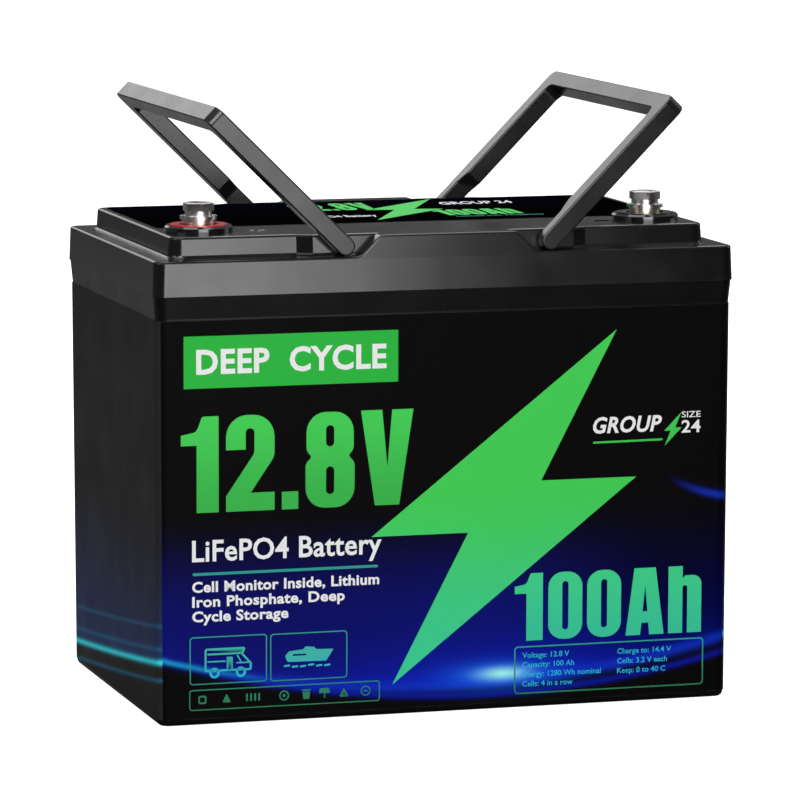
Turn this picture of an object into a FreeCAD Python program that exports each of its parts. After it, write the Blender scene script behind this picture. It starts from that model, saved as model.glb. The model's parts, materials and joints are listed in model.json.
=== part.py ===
# Deep cycle battery in a group 24 case, as a parametric document and one STEP file per piece.
#
# Frame: millimetres, +Z up, +X along the long side, -Y the side that carries the terminals.
# The origin is the middle of the underside. Left means -X and front means -Y.
# Every driving size is a cell of the sheet "dims", and the pieces are tied to those cells.
import FreeCAD, Part
import math
import os

import Sketcher
from FreeCAD import Placement, Rotation, Vector

doc = FreeCAD.newDocument("deep_cycle_battery")

# ------------------------------------------------------------------ driving sizes
SIZES = {
    "outer case": {
        "case_length": 260.0,        # lid skirt, end to end, the group 24 length
        "case_width": 168.0,         # lid skirt, front to back
        "case_base_length": 256.6,   # walls lean out a little from the foot to the flare
        "case_base_width": 162.6,
        "case_neck_length": 257.6,
        "case_neck_width": 165.6,
        "flare_length": 259.2,
        "flare_width": 167.2,
        "flare_start": 175.4,
        "skirt_foot": 185.0,
        "wall_thick": 3.2,
        "floor_thick": 4.0,
        "corner_round": 5.2,
        "foot_round": 2.5,
        "tongue_thick": 2.0,
        "tongue_top": 191.0,
        "seal_thick": 2.0,
    },
    "lid": {
        "ledge_height": 200.0,
        "ledge_length": 259.0,
        "ledge_width": 167.0,
        "top_height": 209.0,
        "plateau_length": 240.2,
        "plateau_width": 144.6,
        "plateau_lean": 0.5,
        "plateau_round": 6.0,
        "step_half": 58.5,           # the wall stands out by step_out between the pivots
        "step_run": 6.5,
        "step_out": 3.3,
        "block_top_half": 30.7,      # centre block, flush with the skirt
        "block_foot_half": 39.6,
        "block_round": 5.0,
        "block_apron": 7.0,
        "wall_foot_round": 1.2,
        "lid_thick": 3.0,
        "edge_round": 1.0,
        "skirt_gap": 0.2,
    },
    "handles": {
        "pivot_out": 46.0,
        "pivot_height": 204.4,
        "handle_reach": 82.5,        # pivot to the outer face of the grip
        "handle_half_width": 83.3,
        "handle_thick": 8.0,
        "arm_inner": 72.9,
        "arm_inner_pivot": 76.0,
        "arm_step_near": 12.5,
        "arm_step_far": 19.0,
        "grip_depth": 8.0,
        "grip_corner": 4.5,
        "grip_inner_corner": 4.0,
        "end_round": 3.9,
        "handle_edge": 0.7,
        "left_raise": 44.5,          # rest angle above the folded position, degrees
        "right_raise": 45.5,
        "pivot_pin_half": 2.0,
        "pivot_socket_half": 2.05,
        "pivot_pin_inner": 70.5,
        "pivot_pin_outer": 81.0,
        "pivot_socket_inner": 70.0,
    },
    "terminals": {
        "positive_out": -101.5,
        "negative_out": 101.0,
        "terminal_front": -46.4,
        "collar_half": 14.75,
        "collar_height": 2.9,
        "collar_edge": 0.8,
        "ring_half": 12.35,
        "ring_inner_half": 8.3,
        "ring_sunk": 0.8,
        "ring_height": 1.2,
        "insert_half": 7.0,
        "insert_hole_half": 7.1,
        "insert_rise": 2.0,
        "bolt_head_edge": 0.4,
        "insert_flange_half": 10.0,
        "insert_flange_thick": 3.0,
        "insert_stud_half": 6.0,
        "insert_stud_length": 15.0,
        "gasket_thick": 1.0,
        "terminal_boss_half": 12.0,
        "terminal_boss_depth": 3.0,
        "bolt_half": 3.95,
        "bolt_hole_half": 4.0,
        "bolt_hole_depth": 21.5,
        "bolt_length": 20.0,
        "bolt_head_flats": 12.0,
        "bolt_head_height": 3.6,
        "flat_washer_half": 8.0,
        "flat_washer_hole": 4.2,
        "flat_washer_thick": 1.5,
        "spring_washer_half": 5.9,
        "spring_washer_hole": 4.1,
        "spring_washer_thick": 2.1,
        "spring_washer_slot": 1.2,
        "terminal_nut_flats": 18.0,
        "terminal_nut_height": 6.0,
        "mark_half": 5.6,
        "mark_sunk": 0.4,
        "mark_raised": 0.3,
        "mark_arm": 3.4,
        "mark_bar": 1.3,
        "positive_mark_out": -76.2,
        "negative_mark_out": 80.2,
        "mark_front": -48.6,
    },
    "labels": {
        "film_thick": 0.3,
        "film_gap": 0.02,
        "wrap_foot": 3.0,
        "wrap_top": 174.6,
        "top_film_half": 115.5,
        "top_film_front": -28.5,
        "top_film_back": 68.5,
        "top_film_corner": 3.0,
    },
    "cells": {
        "cell_thick": 50.0,
        "cell_width": 150.0,
        "cell_height": 118.0,
        "cell_corner": 3.0,
        "cell_pitch": 51.0,
        "floor_foam": 4.0,
        "end_plate_thick": 3.0,
        "plate_margin": 2.0,
        "strap_thick": 0.6,
        "strap_height": 12.0,
        "strap_low": 28.0,
        "strap_high": 76.0,
        "foam_gap": 0.2,
        "foam_margin": 6.0,
        "side_foam_length": 188.7,
        "end_foam_width": 120.0,
        "side_foam": 2.0,
        "end_foam": 19.2,
        "post_out": 48.0,
        "post_half": 8.0,
        "post_height": 3.0,
        "stud_half": 3.0,
        "stud_height": 14.0,
        "stud_hole": 3.2,
        "vent_half": 7.0,
        "vent_height": 0.4,
        "sheet_thick": 0.8,
        "sheet_margin": 0.6,
        "busbar_thick": 2.0,
        "busbar_half": 9.0,
        "cell_nut_flats": 10.0,
        "cell_nut_height": 5.0,
    },
    "electronics": {
        "tray_length": 124.0,
        "tray_width": 72.0,
        "tray_thick": 3.0,
        "tray_lift": 14.0,
        "tray_leg_half": 4.0,
        "pillar_height": 4.0,
        "pillar_half": 3.5,
        "board_length": 120.0,
        "board_width": 68.0,
        "board_thick": 1.6,
        "screw_half": 1.5,
        "screw_hole": 1.6,
        "screw_head_half": 2.9,
        "screw_head_height": 2.2,
        "screw_out": 54.0,
        "screw_side": 28.0,
        "transistor_length": 10.0,
        "transistor_width": 8.0,
        "transistor_height": 4.4,
        "transistor_pitch": 14.0,
        "transistor_side": 12.0,
        "sink_length": 92.0,
        "sink_width": 44.0,
        "sink_base": 4.0,
        "fin_height": 8.0,
        "fin_thick": 1.6,
        "fin_pitch": 7.0,
        "pad_length": 10.0,
        "pad_width": 10.0,
        "pad_height": 3.0,
        "pad_side": 12.0,
        "connector_length": 16.0,
        "connector_width": 6.0,
        "connector_height": 7.0,
        "connector_side": 28.0,
        "cable_half": 4.0,
        "cable_rise": 12.0,
        "cable_drop": 14.0,
        "barrel_half": 5.0,
        "barrel_length": 12.0,
        "barrel_out": 11.5,
        "lug_half": 8.5,
        "lug_thick": 2.0,
        "terminal_lug_half": 11.0,
        "terminal_lug_thick": 2.5,
        "terminal_barrel_out": 16.5,
        "wire_half": 0.9,
        "probe_half": 2.0,
        "probe_length": 10.0,
    },
}

sheet = doc.addObject("Spreadsheet::Sheet", "dims")
row = 1
for section, cells in SIZES.items():
    sheet.set(f"A{row}", section)
    row += 1
    for alias, number in cells.items():
        sheet.set(f"A{row}", alias.replace("_", " "))
        sheet.set(f"B{row}", str(number))
        sheet.setAlias(f"B{row}", alias)
        row += 1
doc.recompute()

nodes = {}


# ------------------------------------------------------------------ helpers
def formula(text):
    """The words of a formula with each sheet alias turned into a reference to its cell."""
    words = []
    word = ""
    for letter in text + " ":
        if letter.isalnum() or letter == "_":
            word += letter
            continue
        words.append("dims." + word if hasattr(sheet, word) and "_" in word else word)
        words.append(letter)
        word = ""
    return "".join(words).strip()


def number(text):
    """The present value of a formula in the sheet's aliases."""
    return float(sheet.evalExpression(formula(text)))


def tie(thing, **formulas):
    """Bind properties to formulas; two underscores in a property's name stand for a dot."""
    for name, text in formulas.items():
        thing.setExpression(name.replace("__", "."), formula(text))
    return thing


def keep(thing, label):
    """Register a finished piece under its node name."""
    thing.Label = label
    nodes[label] = thing
    return thing


def new_body(label):
    """An empty PartDesign body that will be the node of that name."""
    return keep(doc.addObject("PartDesign::Body", label), label)


def plane_of(body, role):
    """One of a body's own origin planes, such as XY_Plane."""
    return next(item for item in body.Origin.OriginFeatures if item.Role == role)


def outline(body, points, lift="0", role="XY_Plane"):
    """A closed sketch of straight lines. Points and lift are formulas of the sheet.

    A third formula at a point rounds that right-angled corner with an arc of that radius.
    """
    sketch = body.newObject("Sketcher::SketchObject", body.Name + "_outline")
    sketch.AttachmentSupport = (plane_of(body, role), [""])
    sketch.MapMode = "FlatFace"
    tie(sketch, AttachmentOffset__Base__z=lift)

    stops = []
    for index, point in enumerate(points):
        if len(point) == 2:
            stops.append((point, None))
            continue
        x, y, radius = point
        before = points[index - 1]
        after = points[(index + 1) % len(points)]
        came_level = abs(number(before[1]) - number(y)) < 1e-6
        sideways = before if came_level else after
        upwards = after if came_level else before
        centre_x = f"{x} {'+' if number(sideways[0]) > number(x) else '-'} ({radius})"
        centre_y = f"{y} {'+' if number(upwards[1]) > number(y) else '-'} ({radius})"
        level_end = (centre_x, y)
        upright_end = (x, centre_y)
        first, last = (level_end, upright_end) if came_level else (upright_end, level_end)
        stops.append((first, None))
        stops.append((last, (centre_x, centre_y, came_level)))

    places = [Vector(number(x), number(y), 0) for (x, y), _ in stops]
    count = len(stops)
    for index in range(count):
        start = places[index]
        end = places[(index + 1) % count]
        curve = stops[(index + 1) % count][1]
        if curve is None:
            sketch.addGeometry(Part.LineSegment(start, end), False)
        else:
            centre = Vector(number(curve[0]), number(curve[1]), 0)
            middle = (start + end) * 0.5 - centre
            middle = centre + middle.normalize() * (start - centre).Length
            arc = Part.Arc(start, middle, end)
            sketch.addGeometry(arc, False)
    starts = []
    for index in range(count):
        shape = sketch.Geometry[index]
        starts.append(1 if shape.StartPoint.isEqual(places[index], 1e-4) else 2)
    for index in range(count):
        following = (index + 1) % count
        sketch.addConstraint(Sketcher.Constraint(
            "Coincident", index, 3 - starts[index], following, starts[following]))

    def hold(kind, item, spot, text):
        """Fix one coordinate of a point of the sketch to a formula."""
        at = sketch.addConstraint(
            Sketcher.Constraint(kind, -1, 1, item, spot, number(text)))
        sketch.setExpression(f"Constraints[{at}]", formula(text))

    for index, ((x, y), curve) in enumerate(stops):
        if curve is None or curve[2] is False:
            hold("DistanceX", index, starts[index], x)
        if curve is None or curve[2] is True:
            hold("DistanceY", index, starts[index], y)
        if curve is not None:
            hold("DistanceX", index - 1, 3, curve[0])
            hold("DistanceY", index - 1, 3, curve[1])
    return sketch


def rectangle(body, length, width, lift, corner=None):
    """A sketch of a rectangle centred on the origin, with round corners if asked."""
    half_x = f"({length}) / 2"
    half_y = f"({width}) / 2"
    corners = [(f"-{half_x}", f"-{half_y}"), (half_x, f"-{half_y}"),
               (half_x, half_y), (f"-{half_x}", half_y)]
    if corner:
        corners = [(x, y, corner) for x, y in corners]
    return outline(body, corners, lift)


def loft(body, sections, kind="AdditiveLoft"):
    """A ruled solid through the sketches, added to or cut from the body."""
    feature = body.newObject("PartDesign::" + kind, body.Name + "_loft")
    feature.Profile = sections[0]
    feature.Sections = sections[1:]
    feature.Ruled = True
    return feature


def quarter_round(radius, steps=4):
    """Pairs of formulas (how far in, how far up) that round an edge from wall to flat."""
    pairs = []
    for step in range(steps + 1):
        angle = math.pi / 2 * step / steps
        pairs.append((f"{radius} * {1 - math.cos(angle):.4f}", f"{radius} * {math.sin(angle):.4f}"))
    return pairs


def primitive(body, kind, lift="0", x="0", y="0", role="XY_Plane", **sizes):
    """An additive or subtractive box or cylinder standing on one of the body's planes."""
    feature = body.newObject("PartDesign::" + kind, body.Name + "_" + kind.lower())
    feature.AttachmentSupport = (plane_of(body, role), [""])
    feature.MapMode = "FlatFace"
    tie(feature, AttachmentOffset__Base__x=x, AttachmentOffset__Base__y=y,
        AttachmentOffset__Base__z=lift, **sizes)
    return feature


def block(body, kind, length, width, low, high, x="0", y="0"):
    """A box of the body, centred on (x, y), from one height to another."""
    return primitive(body, kind, lift=low, x=f"{x} - ({length}) / 2", y=f"{y} - ({width}) / 2",
                     Length=length, Width=width, Height=f"{high} - ({low})")


def round_edges(body, radius, chosen, kind="Fillet"):
    """Round or bevel the body's edges that a test picks out."""
    doc.recompute()
    names = [f"Edge{index + 1}" for index, edge in enumerate(body.Tip.Shape.Edges)
             if chosen(edge)]
    base = body.Tip
    feature = body.newObject("PartDesign::" + kind, body.Name + "_" + kind.lower())
    feature.Base = (base, names)
    tie(feature, **{"Radius" if kind == "Fillet" else "Size": radius})
    doc.recompute()
    if feature.Shape.isNull() or not feature.isValid() or not feature.Shape.isValid():
        raise RuntimeError(f"{body.Label}: {kind} of {len(names)} edges failed")
    return feature


def ends(edge):
    """The two end points of an edge."""
    return edge.Vertexes[0].Point, edge.Vertexes[-1].Point


def is_upright(edge, low, high):
    """True for an edge that climbs from one height to the other."""
    heights = sorted(point.z for point in ends(edge))
    return abs(heights[0] - low) < 0.01 and abs(heights[1] - high) < 0.01


def is_level(edge, height):
    """True for an edge that lies at one height."""
    box = edge.BoundBox
    return abs(box.ZMin - height) < 0.01 and abs(box.ZMax - height) < 0.01


def cylinder(radius, height, x="0", y="0", z="0"):
    """A Part cylinder standing at (x, y, z)."""
    thing = doc.addObject("Part::Cylinder", "cylinder")
    return tie(thing, Radius=radius, Height=height, Placement__Base__x=x,
               Placement__Base__y=y, Placement__Base__z=z)


def box(length, width, height, x="0", y="0", z="0"):
    """A Part box centred on (x, y), standing at z."""
    thing = doc.addObject("Part::Box", "box")
    return tie(thing, Length=length, Width=width, Height=height,
               Placement__Base__x=f"{x} - ({length}) / 2",
               Placement__Base__y=f"{y} - ({width}) / 2", Placement__Base__z=z)


def prism(flats, height, x="0", y="0", z="0"):
    """A six-sided prism of that size across its flats, standing at (x, y, z)."""
    thing = doc.addObject("Part::Prism", "prism")
    thing.Polygon = 6
    return tie(thing, Circumradius=f"{flats} / sqrt(3)", Height=height, Placement__Base__x=x,
               Placement__Base__y=y, Placement__Base__z=z)


def fuse(*pieces):
    """Several overlapping solids as one."""
    thing = doc.addObject("Part::MultiFuse", "fuse")
    thing.Shapes = list(pieces)
    return thing


def cut(base, *tools):
    """A solid less its tools."""
    thing = doc.addObject("Part::Cut", "cut")
    thing.Base = base
    thing.Tool = tools[0] if len(tools) == 1 else fuse(*tools)
    return thing


def group(pieces):
    """Separate solids that share one node."""
    thing = doc.addObject("Part::Compound", "group")
    thing.Links = list(pieces)
    return thing


def tube(points, radius, tightest=None):
    """A round wire along straight runs joined by tangent arcs.

    Each arc is as large as its runs allow, or has the given radius if that is smaller.
    """
    stops = [Vector(*point) for point in points]
    edges = []
    start = stops[0]
    for before, corner, after in zip(stops, stops[1:], stops[2:]):
        into = (before - corner).normalize()
        out = (after - corner).normalize()
        turn = math.pi - into.getAngle(out)
        setback = 0.45 * min(before.distanceToPoint(corner), after.distanceToPoint(corner))
        if tightest:
            setback = min(setback, tightest * math.tan(turn / 2))
        bend = setback / math.tan(turn / 2)
        first = corner + into * setback
        last = corner + out * setback
        towards = (into + out).normalize()
        middle = corner + towards * (math.hypot(setback, bend) - bend)
        edges.append(Part.LineSegment(start, first).toShape())
        edges.append(Part.Arc(first, middle, last).toShape())
        start = last
    edges.append(Part.LineSegment(start, stops[-1]).toShape())
    path = Part.Wire(edges)
    profile = Part.Wire([Part.Circle(stops[0], stops[1] - stops[0], radius).toShape()])
    solid = path.makePipeShell([profile], True, False)
    expected = math.pi * radius ** 2 * path.Length
    if abs(solid.Volume / expected - 1) > 0.02:
        raise RuntimeError(f"a tube of length {path.Length:.1f} has the wrong volume")
    return solid


def wall_size(base, neck, height):
    """A formula for the outer size of the leaning case wall at a height."""
    return f"{base} + ({neck} - {base}) * ({height}) / flare_start"


# ------------------------------------------------------------------ case
def make_case():
    """Open moulded box: leaning walls, a flare under the lid and a tongue inside its skirt."""
    body = new_body("case_shell")
    sections = [rectangle(body, f"case_base_length - 2 * ({inset})",
                          f"case_base_width - 2 * ({inset})", f"foot_round - {drop}",
                          f"corner_round - {inset}")
                for inset, drop in reversed(quarter_round("foot_round"))]
    sections.append(rectangle(body, "case_neck_length", "case_neck_width", "flare_start",
                              "corner_round"))
    sections.append(rectangle(body, "flare_length", "flare_width", "skirt_foot",
                              "corner_round"))
    loft(body, sections)
    tongue_length = "case_neck_length - 2 * wall_thick + 2 * tongue_thick"
    tongue_width = "case_neck_width - 2 * wall_thick + 2 * tongue_thick"
    block(body, "AdditiveBox", tongue_length, tongue_width, "skirt_foot - 1", "tongue_top")
    tongue_low = number("skirt_foot")
    tongue_high = number("tongue_top")
    round_edges(body, "tongue_thick", lambda edge: is_upright(edge, tongue_low, tongue_high))
    hollow_foot = rectangle(body, "case_base_length - 2 * wall_thick",
                            "case_base_width - 2 * wall_thick", "floor_thick")
    hollow_neck = rectangle(body, "case_neck_length - 2 * wall_thick",
                            "case_neck_width - 2 * wall_thick", "flare_start")
    hollow_top = rectangle(body, "case_neck_length - 2 * wall_thick",
                           "case_neck_width - 2 * wall_thick", "tongue_top + 1")
    loft(body, [hollow_foot, hollow_neck, hollow_top], "SubtractiveLoft")


def make_lid():
    """Lid: skirt, ledge for the folded handles, raised top, centre block and bosses."""
    body = new_body("lid_cover")
    ledge = number("ledge_height")
    crest_x = number("block_top_half")
    foot_x = number("block_foot_half")
    front_y = number("ledge_width") / 2
    profile = [("-block_foot_half - block_apron", "ledge_height - lid_thick"),
               ("block_foot_half + block_apron", "ledge_height - lid_thick"),
               ("block_foot_half + block_apron", "ledge_height"),
               ("block_foot_half", "ledge_height"), ("block_top_half", "top_height"),
               ("-block_top_half", "top_height"), ("-block_foot_half", "ledge_height"),
               ("-block_foot_half - block_apron", "ledge_height")]
    pad = body.newObject("PartDesign::Pad", "lid_cover_block")
    pad.Profile = outline(body, profile, role="XZ_Plane")
    pad.SideType = "Symmetric"
    tie(pad, Length="ledge_width")
    round_edges(body, "block_round",
                lambda edge: edge.BoundBox.XLength < 0.01 and edge.BoundBox.ZLength < 0.01
                and min(abs(abs(edge.CenterOfMass.x) - reach) for reach in (crest_x, foot_x))
                < 0.01)
    round_edges(body, "edge_round",
                lambda edge: abs(edge.CenterOfMass.y) > front_y - 0.01
                and edge.BoundBox.YLength < 0.01 and edge.BoundBox.ZMin > ledge - 0.01)

    skirt = [rectangle(body, "case_length", "case_width", "skirt_foot", "corner_round")]
    for inset, rise in quarter_round("edge_round"):
        skirt.append(rectangle(body, f"ledge_length - 2 * ({inset})",
                               f"ledge_width - 2 * ({inset})",
                               f"ledge_height - edge_round + {rise}",
                               f"corner_round - {inset}"))
    loft(body, skirt)

    def plateau(inset, lift):
        """Outline of the raised top: a rectangle whose long walls step out at the middle."""
        end = f"(plateau_length / 2 - ({inset}))"
        side = f"(plateau_width / 2 - ({inset}))"
        out = f"(plateau_width / 2 + step_out - ({inset}))"
        near = "step_half"
        far = "(step_half + step_run)"
        turn = f"(plateau_round - ({inset}))"
        walls = [(f"-{end}", f"-{side}", turn), (f"-{far}", f"-{side}"),
                 (f"-{near}", f"-{out}"), (near, f"-{out}"),
                 (far, f"-{side}"), (end, f"-{side}", turn),
                 (end, side, turn), (far, side), (near, out),
                 (f"-{near}", out), (f"-{far}", side), (f"-{end}", side, turn)]
        return outline(body, walls, lift)

    foot = [plateau(f"{rise} - wall_foot_round", f"ledge_height + {inset}")
            for inset, rise in quarter_round("wall_foot_round", 3)]
    crown = [plateau(f"plateau_lean + {inset}", f"top_height - edge_round + {rise}")
             for inset, rise in quarter_round("edge_round")]
    loft(body, foot + crown)

    inner_length = "case_neck_length - 2 * wall_thick"
    inner_width = "case_neck_width - 2 * wall_thick"
    block(body, "SubtractiveBox", f"{inner_length} + 2 * tongue_thick + 2 * skirt_gap",
          f"{inner_width} + 2 * tongue_thick + 2 * skirt_gap",
          "skirt_foot - 1", "tongue_top + seal_thick")
    block(body, "SubtractiveBox", inner_length, inner_width, "tongue_top", "ledge_height - lid_thick")
    block(body, "SubtractiveBox", "plateau_length - 2 * lid_thick",
          "plateau_width - 2 * lid_thick", "tongue_top", "top_height - lid_thick")
    block(body, "SubtractiveBox", "2 * block_top_half - 2 * lid_thick",
          "ledge_width - 2 * lid_thick", "tongue_top", "top_height - lid_thick")

    for side in ("positive_out", "negative_out"):
        primitive(body, "AdditiveCylinder", x=side, y="terminal_front",
                  lift="top_height - lid_thick - terminal_boss_depth",
                  Radius="terminal_boss_half", Height="terminal_boss_depth + 1")
        primitive(body, "SubtractiveCylinder", x=side, y="terminal_front",
                  lift="tongue_top", Radius="insert_hole_half", Height="top_height")
    for mark in ("positive_mark_out", "negative_mark_out"):
        primitive(body, "SubtractiveCylinder", x=mark, y="mark_front",
                  lift="top_height - mark_sunk", Radius="mark_half", Height="2")
    for pivot in ("pivot_out", "-pivot_out"):
        for lift in ("-plateau_width", "pivot_socket_inner"):
            primitive(body, "SubtractiveCylinder", role="XZ_Plane", x=pivot, y="pivot_height",
                      lift=lift, Radius="pivot_socket_half",
                      Height="plateau_width - pivot_socket_inner")


def make_seal():
    """Soft ring squeezed between the tongue of the case and the lid."""
    inner_length = "case_neck_length - 2 * wall_thick"
    inner_width = "case_neck_width - 2 * wall_thick"
    outer = box(f"{inner_length} + 2 * tongue_thick", f"{inner_width} + 2 * tongue_thick",
                "seal_thick", z="tongue_top")
    inner = box(inner_length, inner_width, "seal_thick + 2", z="tongue_top - 1")
    keep(cut(outer, inner), "lid_seal")


def make_labels():
    """Printed films: a sleeve round the four walls and a sheet on the raised top."""
    body = new_body("wrap_label")
    for grown, kind in (("film_thick", "AdditiveLoft"), ("film_gap", "SubtractiveLoft")):
        sections = []
        for lift in ("wrap_foot", "wrap_top"):
            length = wall_size("case_base_length", "case_neck_length", lift)
            width = wall_size("case_base_width", "case_neck_width", lift)
            sections.append(rectangle(body, f"{length} + 2 * {grown}", f"{width} + 2 * {grown}",
                                      lift, f"(corner_round + {grown})"))
        loft(body, sections, kind)

    film = box("2 * top_film_half", "top_film_back - top_film_front", "film_thick",
               y="(top_film_back + top_film_front) / 2", z="top_height")
    doc.recompute()
    rounded = doc.addObject("Part::Fillet", "top_film")
    rounded.Base = film
    corner = number("top_film_corner")
    rounded.Edges = [(index + 1, corner, corner) for index, edge in enumerate(film.Shape.Edges)
                     if edge.BoundBox.ZLength > 0.1]
    keep(rounded, "top_label")


# ------------------------------------------------------------------ handles
def make_handle(label, place_x, turn):
    """U-shaped carrying handle, drawn flat with its pivot at the origin, then raised."""
    body = new_body(label)
    reach = "handle_reach"
    inside = "(handle_reach - grip_depth)"
    half = "handle_half_width"
    end = "-handle_thick / 2"
    side = [(end, half), (reach, half)]
    back = [(inside, "arm_inner"), ("arm_step_far", "arm_inner"),
            ("arm_step_near", "arm_inner_pivot"), (end, "arm_inner_pivot")]
    points = [(x, f"-{y}") for x, y in side] + list(reversed(side))
    points += list(reversed(back)) + [(x, f"-{y}") for x, y in back]
    sketch = outline(body, points)
    pad = body.newObject("PartDesign::Pad", label + "_pad")
    pad.Profile = sketch
    pad.SideType = "Symmetric"
    tie(pad, Length="handle_thick")
    low = -number("handle_thick") / 2
    high = -low
    edge_y = number("handle_half_width")
    round_edges(body, "end_round",
                lambda edge: edge.BoundBox.XMax < low + 0.01 and edge.BoundBox.ZLength < 0.01)
    round_edges(body, "grip_corner",
                lambda edge: is_upright(edge, low, high)
                and abs(edge.CenterOfMass.y) > edge_y - 0.01
                and edge.CenterOfMass.x > number("handle_reach") - 0.01)
    round_edges(body, "grip_inner_corner",
                lambda edge: is_upright(edge, low, high)
                and abs(edge.CenterOfMass.x - number(inside)) < 0.01)
    round_edges(body, "handle_edge",
                lambda edge: is_level(edge, high) or is_level(edge, low))
    for lift in ("-pivot_pin_outer", "pivot_pin_inner"):
        primitive(body, "SubtractiveCylinder", role="XZ_Plane", lift=lift,
                  Radius="pivot_pin_half", Height="pivot_pin_outer - pivot_pin_inner")
    body.Placement = Placement(Vector(), Rotation(Vector(0, -1, 0), number(turn)))
    tie(body, Placement__Base__x=place_x, Placement__Base__z="pivot_height",
        Placement__Rotation__Angle=turn)


def make_pivot_pins(label, place_x):
    """Two steel pins, pressed into the handle's arms and turning in the lid's sockets."""
    pins = []
    for y in ("pivot_pin_outer", "-pivot_pin_inner"):
        pin = cylinder("pivot_pin_half", "pivot_pin_outer - pivot_pin_inner",
                       x=place_x, y=y, z="pivot_height")
        pin.Placement.Rotation = Rotation(Vector(1, 0, 0), 90)
        pins.append(pin)
    keep(group(pins), label)


# ------------------------------------------------------------------ terminals
def make_terminal(name, place, mark, is_plus):
    """One screw terminal: collar, coloured ring, threaded insert, gasket, nut, washers, bolt."""
    front = "terminal_front"
    top = "(top_height + collar_height - ring_sunk + ring_height + insert_rise)"
    flange_top = "(top_height - lid_thick - terminal_boss_depth - gasket_thick)"

    collar = new_body("terminal_collar_" + name)
    primitive(collar, "AdditiveCylinder", x=place, y=front, lift="top_height",
              Radius="collar_half", Height="collar_height")
    collar_top = number("top_height + collar_height")
    round_edges(collar, "collar_edge", lambda edge: is_level(edge, collar_top), "Chamfer")
    primitive(collar, "SubtractiveCylinder", x=place, y=front,
              lift="top_height + collar_height - ring_sunk", Radius="ring_half", Height="4")
    primitive(collar, "SubtractiveCylinder", x=place, y=front, lift="top_height - 1",
              Radius="insert_hole_half", Height="collar_height + 2")

    ring_z = "top_height + collar_height - ring_sunk"
    keep(cut(cylinder("ring_half", "ring_height", place, front, ring_z),
             cylinder("ring_inner_half", "ring_height + 2", place, front, ring_z + " - 1")),
         "terminal_ring_" + name)

    shaft = cylinder("insert_half", f"{top} - {flange_top}", place, front, flange_top)
    flange_z = f"{flange_top} - insert_flange_thick"
    flange = cylinder("insert_flange_half", "insert_flange_thick", place, front, flange_z)
    stud = cylinder("insert_stud_half", "insert_stud_length + 1", place, front,
                    f"{flange_z} - insert_stud_length")
    bore = cylinder("bolt_hole_half", "bolt_hole_depth + 1", place, front,
                    f"{top} - bolt_hole_depth")
    keep(cut(fuse(shaft, flange, stud), bore), "terminal_insert_" + name)

    keep(cut(cylinder("insert_flange_half", "gasket_thick", place, front, flange_top),
             cylinder("insert_hole_half", "gasket_thick + 2", place, front, f"{flange_top} - 1")),
         "terminal_gasket_" + name)

    nut_z = f"{flange_z} - terminal_lug_thick - terminal_nut_height"
    keep(cut(prism("terminal_nut_flats", "terminal_nut_height", place, front, nut_z),
             cylinder("insert_stud_half", "terminal_nut_height + 2", place, front, f"{nut_z} - 1")),
         "terminal_nut_" + name)

    lug_z = f"{flange_z} - terminal_lug_thick"
    plate = cylinder("terminal_lug_half", "terminal_lug_thick", place, front, lug_z)
    tab = box("2 * barrel_half", "terminal_barrel_out", "terminal_lug_thick", place,
              f"{front} + terminal_barrel_out / 2", lug_z)
    barrel = cylinder("barrel_half", "barrel_length", place, f"{front} + terminal_barrel_out",
                      f"{flange_z} - barrel_length")
    hole = cylinder("insert_stud_half", "terminal_lug_thick + 2", place, front, f"{lug_z} - 1")
    keep(cut(fuse(plate, tab, barrel), hole), "terminal_lug_" + name)

    keep(cut(cylinder("flat_washer_half", "flat_washer_thick", place, front, top),
             cylinder("flat_washer_hole", "flat_washer_thick + 2", place, front, f"{top} - 1")),
         "flat_washer_" + name)

    spring_z = f"{top} + flat_washer_thick"
    slot = box("spring_washer_half", "spring_washer_slot", "spring_washer_thick + 2",
               f"{place} + spring_washer_half / 2 + 1", front, f"{spring_z} - 1")
    keep(cut(cylinder("spring_washer_half", "spring_washer_thick", place, front, spring_z),
             cylinder("spring_washer_hole", "spring_washer_thick + 2", place, front,
                      f"{spring_z} - 1"), slot), "spring_washer_" + name)

    head_z = f"{spring_z} + spring_washer_thick"
    bolt = new_body("terminal_bolt_" + name)
    corner = "(bolt_head_flats / sqrt(3))"
    flat = "(bolt_head_flats / 2)"
    hexagon = [(place, f"{front} - {corner}"), (f"{place} + {flat}", f"{front} - {corner} / 2"),
               (f"{place} + {flat}", f"{front} + {corner} / 2"), (place, f"{front} + {corner}"),
               (f"{place} - {flat}", f"{front} + {corner} / 2"),
               (f"{place} - {flat}", f"{front} - {corner} / 2")]
    head = bolt.newObject("PartDesign::Pad", bolt.Name + "_head")
    head.Profile = outline(bolt, hexagon, head_z)
    tie(head, Length="bolt_head_height")
    head_top = number(f"{head_z} + bolt_head_height")
    round_edges(bolt, "bolt_head_edge", lambda edge: is_level(edge, head_top))
    primitive(bolt, "AdditiveCylinder", x=place, y=front, lift=f"{head_z} - bolt_length",
              Radius="bolt_half", Height="bolt_length + 1")

    disc = cylinder("mark_half", "mark_sunk", mark, "mark_front", "top_height - mark_sunk")
    sign = [box("2 * mark_arm", "mark_bar", "mark_raised + mark_sunk", mark, "mark_front",
                "top_height - mark_sunk")]
    if is_plus:
        sign.append(box("mark_bar", "2 * mark_arm", "mark_raised + mark_sunk", mark,
                        "mark_front", "top_height - mark_sunk"))
    keep(fuse(disc, *sign), "polarity_mark_" + name)


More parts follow.
